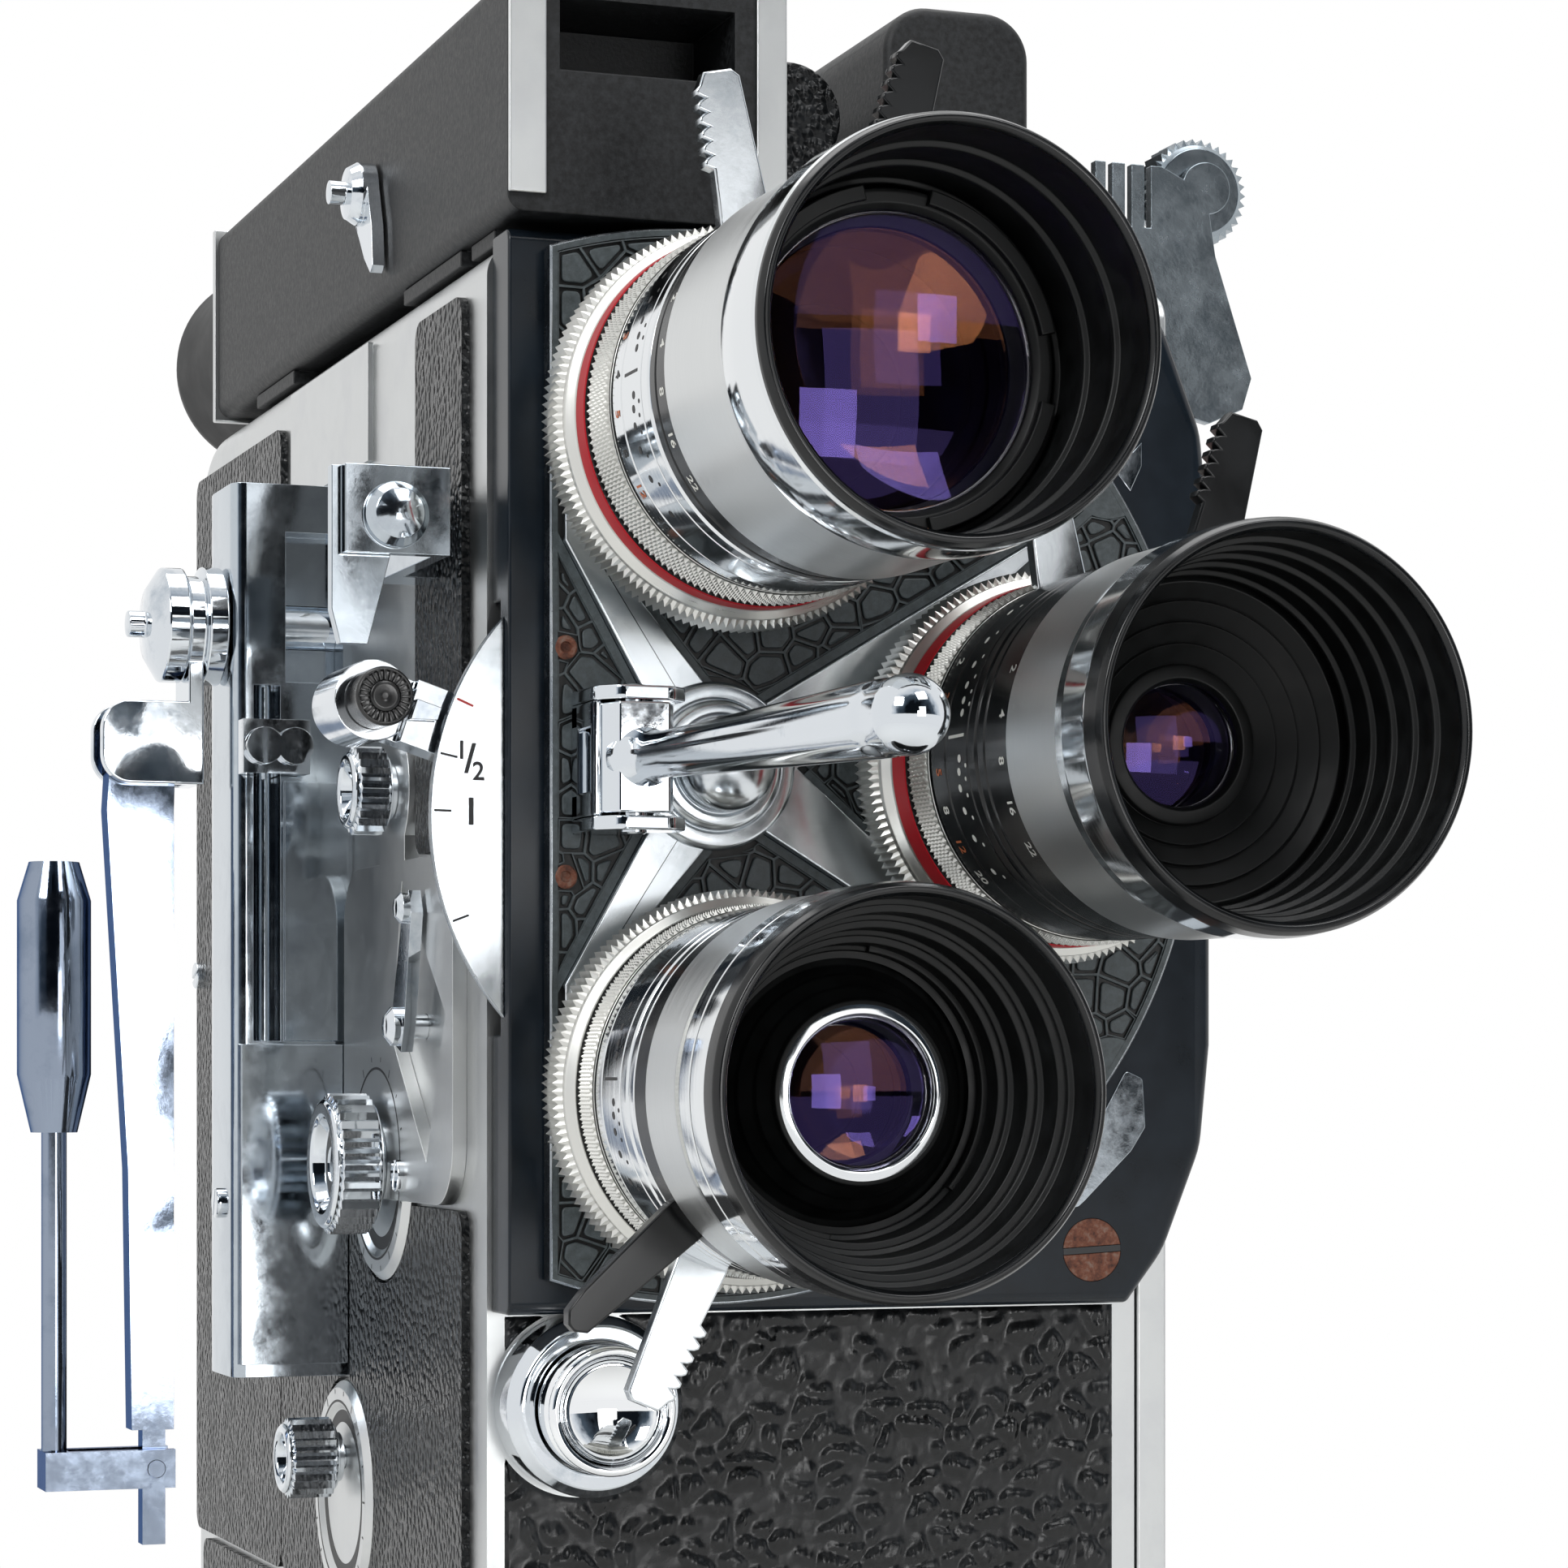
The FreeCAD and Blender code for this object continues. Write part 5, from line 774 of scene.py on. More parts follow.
for key, lens in LENSES.items():
    barrel(key, lens)
    focus_ring(key, lens)
    iris_ring(key, lens)
    hood(key, lens)
glass_elements("front_elements", VIOLET_GLASS, 0.05, 0, 0.12, 20, 96, [(1, 0.6), (0.97, 0.9), (0.5, 1.5), (0, 1.7)],
               ["front_glasses"])
glass_elements("inner_elements", AMBER_GLASS, 1.5, 3.4, -0.13, 18, 72, [(1, 2.2), (0.5, 2.8), (0, 3.2)])


# Turret. Flat outlines are drawn from the hub, x to the right and z up.

TURRET_RADIUS, TURRET_FLAT, TURRET_THICK = 49.8, -15.5, 2
GROOVE = 0.42
HUB_RADIUS = 7.8
BOSSES = [((40.2, 29.5), 4.7), ((40.6, -29.3), 4.4)]
PINS = [(-14.0, 10.6), (-14.0, -10.4)]


def clipped(outline, point, normal):
    """Keeps the part of a convex outline that lies ahead of a line."""
    kept = []
    for here, after in zip(outline, outline[1:] + outline[:1]):
        a = (here[0] - point[0]) * normal[0] + (here[1] - point[1]) * normal[1]
        b = (after[0] - point[0]) * normal[0] + (after[1] - point[1]) * normal[1]
        if a >= 0:
            kept.append(here)
        if (a > 0 > b) or (a < 0 < b):
            share = a / (a - b)
            kept.append((here[0] + (after[0] - here[0]) * share, here[1] + (after[1] - here[1]) * share))
    return kept


def spaced(outline, gap):
    """An outline without the corners that lie closer together than a gap."""
    return [point for index, point in enumerate(outline) if math.dist(point, outline[index - 1]) > gap]


def drawn_in(outline, width):
    """A convex outline with every side moved inwards, and its very short sides left out."""
    made = list(outline)
    for here, after in zip(outline, outline[1:] + outline[:1]):
        along = Vector((after[0] - here[0], after[1] - here[1]))
        if along.length < 1e-4:
            continue
        normal = (-along.y / along.length, along.x / along.length)
        made = clipped(made, (here[0] + normal[0] * width, here[1] + normal[1] * width), normal)
    return spaced(made, 0.22)


def within_rim(outline, radius):
    """The part of a convex outline inside a circle round the hub."""
    for step in range(160):
        way = (math.cos(step * math.pi / 80), math.sin(step * math.pi / 80))
        if any(x * way[0] + z * way[1] > radius for x, z in outline):
            outline = clipped(outline, (way[0] * radius, way[1] * radius), (-way[0], -way[1]))
    return outline


def turret_fields():
    """The four fields between the star's arms, each by the lines that bound it."""
    arm_gap = 0.95
    fields = []
    for lines in [[((-3, 0), (-14.3, 20.3)), ((-14.3, -20.3), (-3, 0))],
                  [((-14.3, 23.8), (2.2, 4)), ((0, 3), (35.2, 24))],
                  [((35.5, 23.6), (6, -2)), ((6, 2), (35.5, -23.6))],
                  [((35.2, -24), (0, -3)), ((2.2, -4), (-14.3, -23.8))]]:
        field = []
        for start, end in lines:
            along = Vector(end) - Vector(start)
            normal = Vector((-along.y, along.x)).normalized()
            field.append((Vector(start) + normal * arm_gap, normal))
        fields.append(field)
    return fields


def crackle_cells():
    """Stone-like cells of the stamped inlay, cut to each field and round the hub, bosses and pins."""
    chance = np.random.default_rng(11)
    pitch = 3.5
    seeds = []
    for row in range(-16, 17):
        for column in range(-6, 17):
            x = (column + 0.5 * (row % 2)) * pitch + chance.uniform(-1.25, 1.25)
            z = row * pitch * 0.87 + chance.uniform(-1.25, 1.25)
            seeds.append((x, z))
    cells = []
    for x, z in seeds:
        if not (TURRET_FLAT - 1 < x and math.hypot(x, z) < TURRET_RADIUS + 1):
            continue
        if any(math.dist((x, z), centre) < 14 for centre in ((0, 30), (30, 0), (0, -30))):
            continue
        cell = [(x - 5, z - 5), (x + 5, z - 5), (x + 5, z + 5), (x - 5, z + 5)]
        for other in seeds:
            apart = math.dist((x, z), other)
            if 0 < apart < 9:
                cell = clipped(cell, ((x + other[0]) / 2, (z + other[1]) / 2),
                               ((x - other[0]) / apart, (z - other[1]) / apart))
        for field in turret_fields():
            part = cell
            for point, normal in field:
                part = clipped(part, point, normal)
            part = clipped(part, (TURRET_FLAT + 0.75, 0), (1, 0))
            part = within_rim(part, TURRET_RADIUS - 0.8)
            for centre, radius in [((0, 0), HUB_RADIUS + 0.6)] + BOSSES + [(pin, 1.25) for pin in PINS]:
                if len(part) > 2:
                    middle = np.mean(part, 0) - centre
                    far = math.hypot(*middle)
                    way = (middle[0] / far, middle[1] / far)
                    part = clipped(part, (centre[0] + way[0] * radius, centre[1] + way[1] * radius), way)
            if len(part) > 2:
                cells.append(part)
    return cells


def turret_disc():
    """The turning disc with its rim, and the stamped crackle inlay: stones, ridges and grooves."""
    shell = Shell()
    face = facing(FORWARD, (HUB_X, TURRET_Y, HUB_Z))
    inlay, steel, rust = range(3)
    corner = math.degrees(math.acos(TURRET_FLAT / TURRET_RADIUS))
    outline = arc(TURRET_RADIUS, -corner, corner, 150)
    shell.add(moulding(outline, [(0, -TURRET_THICK), (0, -0.14), (0.14, 0), (0.22, 0)], steel, caps="low"), turn=face)
    # The inlay's floor lies at groove depth, where its material paints it near-black as painted shade
    shell.add(moulding(outline, [(0.22, 0), (0.72, 0), (0.76, -GROOVE)], inlay, caps="high"), turn=face)
    shell.add(turned([(5, -TURRET_THICK - 9.8, steel), (5, -TURRET_THICK, steel)], 48), turn=face)
    chance = np.random.default_rng(5)
    for cell in crackle_cells():
        ridge = drawn_in(cell, 0.0)
        if len(ridge) < 3:
            continue
        half = inset(ridge, 0.11)
        count = len(ridge)
        corners = ([(x, z, -0.1) for x, z in ridge] + [(x, z, -0.07) for x, z in half]
                   + [(x, z, -GROOVE) for x, z in inset(ridge, 0.15)])
        shell.add((corners, walls(3, count), [inlay] * 2 * count), turn=face)
        stone = drawn_in(cell, 0.4)
        if len(stone) < 3 or min(np.ptp(np.array(stone), axis=0)) < 0.7:
            continue
        corners, faces, marks = plate(rounded_outline(stone, 0.5, 3), -GROOVE, -0.02, 0.16, inlay)
        slope = chance.uniform(-0.035, 0.035, 2)
        middle = corners.mean(0)
        raised = corners[:, 2] > -GROOVE + 0.05
        corners[raised, 2] += ((corners[raised, :2] - middle[:2]) @ slope) + chance.uniform(-0.04, 0.02)
        shell.add((corners, faces, marks), turn=face)
    for field in turret_fields():
        for point, normal in field:
            along = Vector((normal.y, -normal.x)) * 46
            near, far = point - normal * 0.93, point - normal * 0.02
            strip = [tuple(corner) for corner in (near + along, near - along, far - along, far + along)]
            for other, way in field:
                if way != normal:
                    strip = clipped(strip, other - way * 0.02, way)
            strip = spaced(within_rim(clipped(strip, (TURRET_FLAT + 0.5, 0), (1, 0)), 49.2), 0.05)
            shell.add(plate(strip, -GROOVE, -0.04, 0.1, inlay), turn=face)
    for centre, radius in BOSSES:
        boss = within_rim(arc(radius, 0, 352.5, 47, centre), 49.5)
        shell.add(plate(spaced(boss, 0.05), -GROOVE, -0.02, 0.12, inlay), turn=face)
    for x, z in PINS:
        pin = [(1.1, -GROOVE, rust), (1.1, -0.05, rust), (0.95, 0.05, rust), (0.55, 0.05, rust), (0.5, -0.3, rust),
               (0, -0.34, rust)]
        shell.add(turned(pin, 28), turn=face @ Matrix.Translation((x, z, 0)))
    shell.piece("turret_inlay", "turret", "black_enamel", [CRACKLE, STEEL, RUST], ["turret_disc"], sharp=32)


def turret_star():
    """Four tapered arms with chamfered edges, the hub's rings and its dome."""
    shell = Shell()
    face = facing(FORWARD, (HUB_X, TURRET_Y, HUB_Z))
    long_arm = [(0, 3), (-2, 0), (0, -3), (6, -2), (35.5, 23.6), (35.2, 24)]
    short_arm = [(-3, 0), (2.2, -2), (2.2, 4), (-14.3, 23.8), (-14.3, 20.3)]
    for outline, top in ((long_arm, 0.9), (short_arm, 0.89)):
        for side in (1, -1):
            arm = rounded_outline([(x, z * side) for x, z in outline], 0.25, 3)
            shell.add(plate(arm, -0.3, top if side > 0 else top - 0.006, 0.22), 0, face)
    hub = [(HUB_RADIUS, 0, 0), (HUB_RADIUS, 1.3, 0), (HUB_RADIUS - 0.35, 1.75, 0), (6.25, 1.85, 0), (6.15, 1.6, 0),
           (6.0, 1.6, 0), (6.0, 2.6, 0), (5.6, 3.0, 0), (4.75, 3.1, 0), (4.6, 2.7, 0), (4.4, 2.7, 0), (4.4, 5.4, 0)]
    dome = [(4.4 * math.sin(a), 5.4 + 2.6 * math.cos(a), 0) for a in np.linspace(math.pi / 2, 0, 14)]
    shell.add(turned(eased(hub, 0.14) + dome[1:], 96), turn=face)
    shell.piece("star_and_hub", "turret", "chrome", [SATIN_CHROME], ["turret_star"], sharp=30)


def lever_bracket():
    """The clevis that holds the turret lever: two polished cheeks on a slotted base, and the pin."""
    shell = Shell()
    face = facing(UPWARD, (HUB_X, 0, HUB_Z))
    front = TURRET_Y - 9.2
    outline = rounded_outline([(-13.5, TURRET_Y), (-13.5, front + 2.2), (-11.6, front), (-6.6, front + 0.1),
                               (-4.9, front + 1.7), (-4.9, front + 4.2), (-8.2, front + 5.2), (-8.2, TURRET_Y)],
                              [0.1, 1.6, 1.6, 1.6, 1.2, 1.2, 1.2, 0.1])
    for low in (5.2, -6.5):
        shell.add(plate(outline, low, low + 1.3, 0.22, both=True), 0, face)
    shell.add(block((-13.5, TURRET_Y - 1.9, -5.2), (-8.2, TURRET_Y, 5.2), 0.2), 0, face)
    for low, high in ((-5.2, -2.9), (2.9, 5.2)):
        shell.add(block((-13.5, TURRET_Y - 6.6, low), (-12.7, TURRET_Y, high), 0.25), 0, face)
    shell.add(block((-13.5, TURRET_Y - 7.0, -5.2), (-12.7, TURRET_Y - 5.8, 5.2), 0.25), 0, face)
    pin = [(0, -6.75, 0), (1.0, -6.75, 0), (1.2, -6.6, 0), (1.2, 6.6, 0), (1.0, 6.75, 0), (0, 6.75, 0)]
    shell.add(turned(pin, 32), turn=facing(UPWARD, (-24.9, -80, HUB_Z)))
    shell.piece("lever_clevis", "turret", "chrome", [CHROME], ["lever_bracket"], sharp=30)


def turret_lever():
    """The polished handle: a faceted knuckle, a tapered stem and a ball end."""
    shell = Shell()
    knuckle = rounded_outline([(-2.9, 3.0), (-3.45, -0.6), (-2.3, -3.1), (2.3, -3.6), (3.4, -1.2), (3.0, 3.0)],
                              [0.9, 0.3, 0.3, 0.3, 0.6, 0.9], 4)
    shell.add(plate(knuckle, -5, 5, 0.25, both=True), 0, facing(UPWARD, (-24.9, -80, HUB_Z)))
    lean = math.radians(7.1)
    stem = [(3.3, 1.2, 0), (3.15, 2.4, 0), (2.7, 3.3, 0), (2.3, 4.4, 0), (2.12, 6, 0), (2.15, 9, 0), (3.22, 47, 0)]
    smooth = [(r, h, 0) for r, h in arc(3.3, -12, 90, 14, (0, 51.8))]
    neck = [(3.2, 48.6, 0), (3.05, 49.3, 0)]
    shell.add(turned(eased(stem, 0.8) + neck + smooth[1:], 64), turn=facing(
        (math.sin(lean), -math.cos(lean), 0), (-24.9, -80, HUB_Z)))
    shell.piece("turret_handle", "turret_lever", "chrome", [CHROME], ["turret_lever"], sharp=40)


turret_disc()
turret_star()
lever_bracket()
turret_lever()


# Front: leather, shutter scale, release button, screws and plated strips

RELEASE, HOLE = (-25.6, 88.3), 8.85
SCALE_CENTRE, SCALE_RADIUS = (-13.4, 142.7), 27.8
# Lays out the leather's lumps. Without it noise_vector follows the clock and each run differs
GRAIN_SEED = 1795630507


def wrinkled(x, z):
    """Height from 0 to 1 of the embossed leather: flat valleys round lumps of short upright ridges."""
    here = Vector((x / 3.6, z / 2.5, 0))
    here += noise.noise_vector(here * 0.8) * 0.5
    near = noise.voronoi(here)[0]
    lump = min(max((near[1] - near[0] - 0.1) / 0.22, 0), 1)
    lump = lump * lump * (3 - 2 * lump)
    sway = noise.noise(Vector((x / 2.1, z / 2.6, 4))) * 2.6
    ridge = abs(math.sin(math.pi * (x / 0.95 + sway)))
    broken = 0.75 + 0.35 * noise.noise(Vector((x / 0.7, z / 1.3, 9)))
    return 0.1 + lump * (0.3 + 0.6 * ridge ** 0.7) * broken


def front_leather():
    """The panel under the turret, each lump and ridge of its grain in the mesh."""
    noise.seed_set(GRAIN_SEED)
    low, high = (-33.0, 10.6), (28.8, 96.5)
    across, up = int((high[0] - low[0]) / 0.26), int((high[1] - low[1]) / 0.4)
    corners, faces = [], []
    for row in range(up + 1):
        for column in range(across + 1):
            x = low[0] + (high[0] - low[0]) * column / across
            z = low[1] + (high[1] - low[1]) * row / up
            apart = math.dist((x, z), RELEASE)
            if HOLE - 0.45 < apart < HOLE + 0.2:
                x, z = (centre + (at - centre) * HOLE / apart for at, centre in zip((x, z), RELEASE))
            rim = column in (0, across) or row in (0, up) or apart < HOLE + 0.2
            corners.append((x, CASE_Y - (0 if rim else 0.08 + 0.7 * wrinkled(x, z)), z))
    for row in range(up):
        for column in range(across):
            a = row * (across + 1) + column
            face = (a, a + 1, a + across + 2, a + across + 1)
            if any(math.dist((corners[i][0], corners[i][2]), RELEASE) > HOLE + 0.05 for i in face):
                faces.append(face)
    panel = Shell().add((corners, faces, [0] * len(faces)))
    panel.piece("front_leather_panel", "case", "black_leather", [FRONT_LEATHER], sharp=80)


def shutter_scale():
    """A polished half-moon with wiped-in ticks and plain figures."""
    shell = Shell()
    face = facing(FORWARD, (HUB_X, TURRET_Y + 4.5, HUB_Z))
    chrome, edge, ink, red = range(4)
    centre = (SCALE_CENTRE[0] - HUB_X, SCALE_CENTRE[1] - HUB_Z)
    moon = arc(SCALE_RADIUS, 138.5, 221.5, 60, centre)
    shell.add(plate(moon, 0, 0.79, 0.12, chrome, edge), turn=face)
    for angle, finish in ((23, red), (12, ink), (1, ink), (-20.6, ink)):
        way = math.radians(180 - angle)
        near, far = ((centre[0] + r * math.cos(way), centre[1] + r * math.sin(way)) for r in (27.45, 25.8))
        along = (Vector(far) - Vector(near)).normalized() * 0.11
        tick = [(near[0] - along.y, near[1] + along.x), (near[0] + along.y, near[1] - along.x),
                (far[0] + along.y, far[1] - along.x), (far[0] - along.y, far[1] + along.x)]
        shell.add(([(x, z, 0.797) for x, z in tick], [(0, 1, 2, 3)], [finish]), turn=face)
    for text, tall, at in (("1", 1.7, (-22.85, 1.15)), ("/", 2.7, (-22.05, 0.35)), ("2", 1.7, (-21.25, -0.75)),
                           ("1", 2.5, (-21.95, -4.5))):
        shell.add(figures(text, tall), ink, face @ Matrix.Translation((at[0], at[1], 0.797)))
    shell.piece("half_moon_scale", "case", "chrome", [SATIN_CHROME, STEEL, INK, RED_INK], ["shutter_scale"],
                sharp=30)


def release_button():
    """A dished mirror with a rounded lip, a waist and its stem."""
    back = list(corners_of("release_button"))[1].y - CASE_Y
    cup = [(1.2, -back, 0), (1.2, 3.3, 0), (5.6, 3.3, 0), (5.6, 4.6, 0), (6.05, 5.0, 0), (6.05, 8.4, 0),
           (5.75, 8.7, 0), (5.75, 9.3, 0), (6.05, 9.6, 0), (6.0, 10.2, 0), (5.6, 10.5, 0), (5.25, 10.4, 0)]
    dish = [(5.1 * math.cos(a), 10.1 - 2.9 * math.sin(a), 0) for a in np.linspace(0, math.pi / 2, 15)]
    shape = turned(eased(cup, 0.18) + dish, 96)
    turn = facing(FORWARD, (RELEASE[0], CASE_Y, RELEASE[1]))
    Shell().add(shape, turn=turn).piece("release_cup_dished", "release_button", "chrome", [MIRROR],
                                        ["release_button"], sharp=35)


def screw_head(radius, tall, slot, finish=0):
    """A domed head in two halves with the driver's slot between them, the slot's floor painted dark as painted shade.
    """
    rise, corner = radius * 0.16, math.degrees(math.asin(slot / radius))
    shape = Shell()
    for side in (1, -1):
        half = [(x, z * side) for x, z in arc(radius, corner, 180 - corner, 24)]
        corners, faces, marks = plate(spaced(half if side > 0 else half[::-1], 0.02), 0, tall - rise, 0.14, finish)
        lifted = np.array(corners)
        high = lifted[:, 2] > tall - rise - 0.16
        lifted[high, 2] += rise * (1 - (lifted[high, 0] ** 2 + lifted[high, 1] ** 2) / radius ** 2)
        shape.add((lifted, faces, marks))
    # Painted shade: the slot's floor takes the third finish, the black lacquer, instead of the head's metal
    shape.add(([(-radius * 0.97, -slot, 0.02), (radius * 0.97, -slot, 0.02), (radius * 0.97, slot, 0.02),
                (-radius * 0.97, slot, 0.02)], [(0, 1, 2, 3)], [2]))
    return shape.shape()


def case_screws():
    """The large rusty screw under the lenses and the small domed ones on the left side."""
    shell = Shell()
    shell.add(screw_head(3.08, 0.5, 0.3, 1), turn=facing(FORWARD, (HUB_X + 39.6, PLATE_Y, HUB_Z - 45.4), 3))
    for x, y, z, roll in ((-35.5, 60, 131, 20), (-47.4, -8, 105.5, 70), (-36.1, -20, 109, 10),
                          (-36.1, -39.5, 109, 75), (-35.5, -56, 18.5, 35), (-35.5, 50, 18.5, -30)):
        shell.add(screw_head(1.58, 0.9, 0.2), turn=facing(LEFTWARD, (x, y, z), roll))
    # The black lacquer here colours the slots' floors as painted shade
    shell.piece("screw_heads", "case", "chrome", [CHROME, RUST, LACQUER], ["case_screws"], sharp=40)


def plate_pads():
    """Thin plated strips let into the front plate beside the turret."""
    shell = Shell()
    face = facing(FORWARD, (HUB_X, PLATE_Y, HUB_Z))
    lower = [(43.1, -28.1), (40.2, -33.2), (37.3, -42.1), (43.7, -35.9), (45.2, -33.6), (44.9, -28.9)]
    shell.add(plate(rounded_outline(lower[::-1], 0.5, 4), -0.02, 0.16, 0.08), turn=face)
    upper = [(42.0, 29.8), (43.6, 27.9), (44.8, 30.4), (44.8, 32.7)]
    shell.add(plate(upper, -0.02, 0.16, 0.08), turn=face)
    shell.piece("front_plate_pads", "case", "chrome", [SCUFFED], sharp=40)


front_leather()
shutter_scale()
release_button()
case_screws()
plate_pads()


# Left side: knurled knobs, the shutter lever's knob and marks on the dials

def side_knob(node, teeth, hollow):
    """A knob with straight knurling, a bright rim and a hollow face, on its stem."""
    low, high = corners_of(node)
    radius = (high.z - low.z) / 2
    long = LEFT_X - low.x
    near = 1.4
    neck = radius * 0.62
    profile = [(1.2, -(high.x - LEFT_X), 0), (1.2, near, 0), (neck, near, 0), (neck, near + 0.6, 0),
               (radius - 0.75, near + 0.7, 0), (radius - 0.7, near + 0.9, 0)]
    front = [(radius - 0.7, long - 0.75, 0), (radius - 0.55, long - 0.3, 0), (radius - 0.9, long, 0),
             (radius * hollow + 0.3, long, 0), (radius * hollow, long - 0.25, 0),
             (radius * hollow * 0.92, long - 1.5, 1), (radius * 0.3, long - 1.75, 1),
             (radius * 0.26, long - 1.1, 0), (0, long - 1.0, 0)]
    turn = facing(LEFTWARD, (LEFT_X, (low.y + high.y) / 2, (low.z + high.z) / 2))
    shell = Shell()
    shell.add(turned(eased(profile, 0.12), 64), turn=turn)
    shell.add(ridged(radius, near + 0.85, long - 0.5, teeth, 0.5, 0.3), turn=turn)
    shell.add(turned(eased(front, 0.12), 64), turn=turn)
    shell.piece(node + "_knurled", node, "chrome", [CHROME, LACQUER], [node], sharp=28)


def shutter_knob():
    """Black moulded knob with a ring of radial teeth on its face, made in one black finish with no chrome neck."""
    low, high = corners_of("shutter_knob")
    x, z = (low.x + high.x) / 2, (low.z + high.z) / 2
    turn = facing(FORWARD, (x, high.y, z))
    long = high.y - low.y
    rim = [(1.57, 0, 0), (2.5, 0, 0), (2.72, 0.25, 0), (2.72, long - 0.35, 0), (2.5, long - 0.1, 0),
           (2.35, long - 0.16, 0), (2.3, long - 0.42, 0), (1.5, long - 0.42, 0), (1.38, long - 0.12, 0),
           (1.1, long - 0.04, 0), (0.5, long - 0.12, 0), (0.3, long - 0.2, 0), (0, long - 0.2, 0)]
    shell = Shell().add(turned(eased(rim, 0.08), 48), turn=turn)
    for number in range(24):
        spoke = [(1.45, -0.09), (2.42, -0.15), (2.42, 0.15), (1.45, 0.09)]
        shell.add(plate(spoke, long - 0.45, long - 0.12, 0.05), turn=turn @ Matrix.Rotation(
            math.radians(15 * number), 4, "Z"))
    shell.piece("knob_with_teeth", "shutter_knob", "black_enamel", [BAKELITE], ["shutter_knob"], sharp=35)


def ring_mark(inner, outer, height, finish=0):
    """A flat ring with a very thin edge."""
    return turned([(inner, height - 0.02, finish), (inner, height, finish), (outer, height, finish),
                   (outer, height - 0.02, finish)], 72)


def dial_marks():
    """Black rings and short ticks on the two round dials."""
    for name, y, z in (("speed_marks", -29.7, 110), ("clutch_marks", -14, 75.2)):
        turn = facing(LEFTWARD, (LEFT_X, y, z))
        shell = Shell().add(ring_mark(7.4, 8.7, 0.925), turn=turn)
        shell.add(ring_mark(9.5, 9.75, 1.425), turn=turn)
        for number in range(18):
            way = math.radians(number * 20)
            long = 0.9 if number % 3 == 0 else 0.5
            side = Vector((-math.sin(way), math.cos(way))) * 0.1
            ends = [Vector((math.cos(way), math.sin(way))) * r for r in (10.9 - long, 10.9)]
            tick = [ends[0] - side, ends[1] - side, ends[1] + side, ends[0] + side]
            shell.add(([(*corner, 1.415) for corner in tick], [(0, 1, 2, 3)], [0]), turn=turn)
        shell.piece(name, "case", "black_enamel", [INK])


side_knob("counter_knob", 26, 0.62)
side_knob("speed_knob", 38, 0.66)
side_knob("clutch_knob", 24, 0.6)
shutter_knob()
dial_marks()


# Top: eyecups and the finder lever; door: thumbwheel

def finder_eyecup():
    """A moulded rubber cup with two grip rings and a flared lip."""
    low, high = corners_of("finder_eyecup")
    deep = high.y - low.y
    r = 12
    profile = [(4, 0, 0), (r - 1.2, 0, 0), (r - 1, 0.6, 0), (r - 1, 2.6, 0), (r - 1.5, 3.1, 0), (r - 1.5, 4.2, 0),
               (r - 0.9, 4.8, 0), (r - 0.8, 7.2, 0), (r - 1.4, 7.8, 0), (r - 1.3, 9, 0), (r - 0.7, 9.8, 0),
               (r - 0.6, deep * 0.55, 0), (r - 0.1, deep * 0.75, 0), (r + 0.4, deep * 0.9, 0),
               (r - 0.1, deep - 0.5, 0), (r - 1.0, deep, 0), (r - 2.2, deep - 0.3, 0),
               (r - 3.2, deep * 0.85, 0), (r - 4.8, deep * 0.5, 0),
               (r - 5.4, deep * 0.36, 0), (4, deep * 0.27, 0), (4, 0, 0)]
    turn = facing(REARWARD, ((low.x + high.x) / 2, low.y, (low.z + high.z) / 2))
    Shell().add(turned(eased(profile, 0.5), 80), turn=turn).piece(
        "eyecup_moulded", "case", "black_rubber", [RUBBER], ["finder_eyecup"], sharp=40)


def reflex_eyepiece():
    """The reflex finder's ocular: a knurled focusing ring and a rubber lip."""
    low, high = corners_of("reflex_eyepiece")
    deep = high.y - low.y
    r = (high.z - low.z) / 2
    near = [(r - 3.4, 0, 0), (r - 1.1, 0, 0), (r - 1.0, 0.3, 0), (r - 1.0, deep * 0.24, 0), (r - 0.7, deep * 0.26, 0)]
    far = [(r - 0.7, deep * 0.5, 0), (r - 1.2, deep * 0.54, 1), (r - 1.1, deep * 0.7, 1), (r - 0.6, deep * 0.82, 1),
           (r - 0.1, deep - 0.6, 1), (r - 0.6, deep, 1), (r - 1.8, deep - 0.1, 1), (r - 3.2, deep * 0.82, 1),
           (r - 3.4, deep * 0.78, 1), (r - 3.4, 0, 0)]
    turn = facing(REARWARD, ((low.x + high.x) / 2, low.y, (low.z + high.z) / 2))
    shell = Shell()
    shell.add(turned(eased(near, 0.2), 64), turn=turn)
    shell.add(ridged(r - 0.2, deep * 0.26, deep * 0.5, 44, 0.45, 0.3), turn=turn)
    shell.add(turned(eased(far, 0.3), 64), turn=turn)
    shell.piece("ocular_with_lip", "reflex_eyepiece", "black_rubber", [LENS_BLACK, RUBBER],
                ["reflex_eyepiece"], sharp=35)


def thumbwheel():
    """A coarse-toothed wheel that clamps the accessory bracket."""
    low, high = corners_of("thumbwheel")
    long, r = high.y - low.y, (high.z - low.z) / 2
    turn = facing(REARWARD, ((low.x + high.x) / 2, low.y, (low.z + high.z) / 2))
    shell = Shell()
    shell.add(turned(eased([(1.3, 0, 0), (r - 1.1, 0, 0), (r - 0.7, 0.35, 0)], 0.1), 56), turn=turn)
    shell.add(ridged(r, 0.3, long - 0.3, 34, 0.62, 0.35), turn=turn)
    cap = [(r - 0.7, long - 0.35, 0), (r - 1.1, long, 0), (r - 2.4, long, 0), (r - 2.6, long - 0.4, 0),
           (1.3, long - 0.4, 0), (1.3, 0, 0)]
    shell.add(turned(eased(cap, 0.1), 56), turn=turn)
    shell.piece("toothed_wheel", "thumbwheel", "chrome", [WORN], ["thumbwheel"], sharp=28)


finder_eyecup()
reflex_eyepiece()
thumbwheel()


# Pieces whose shape the solids already give: the same forms with rounded edges

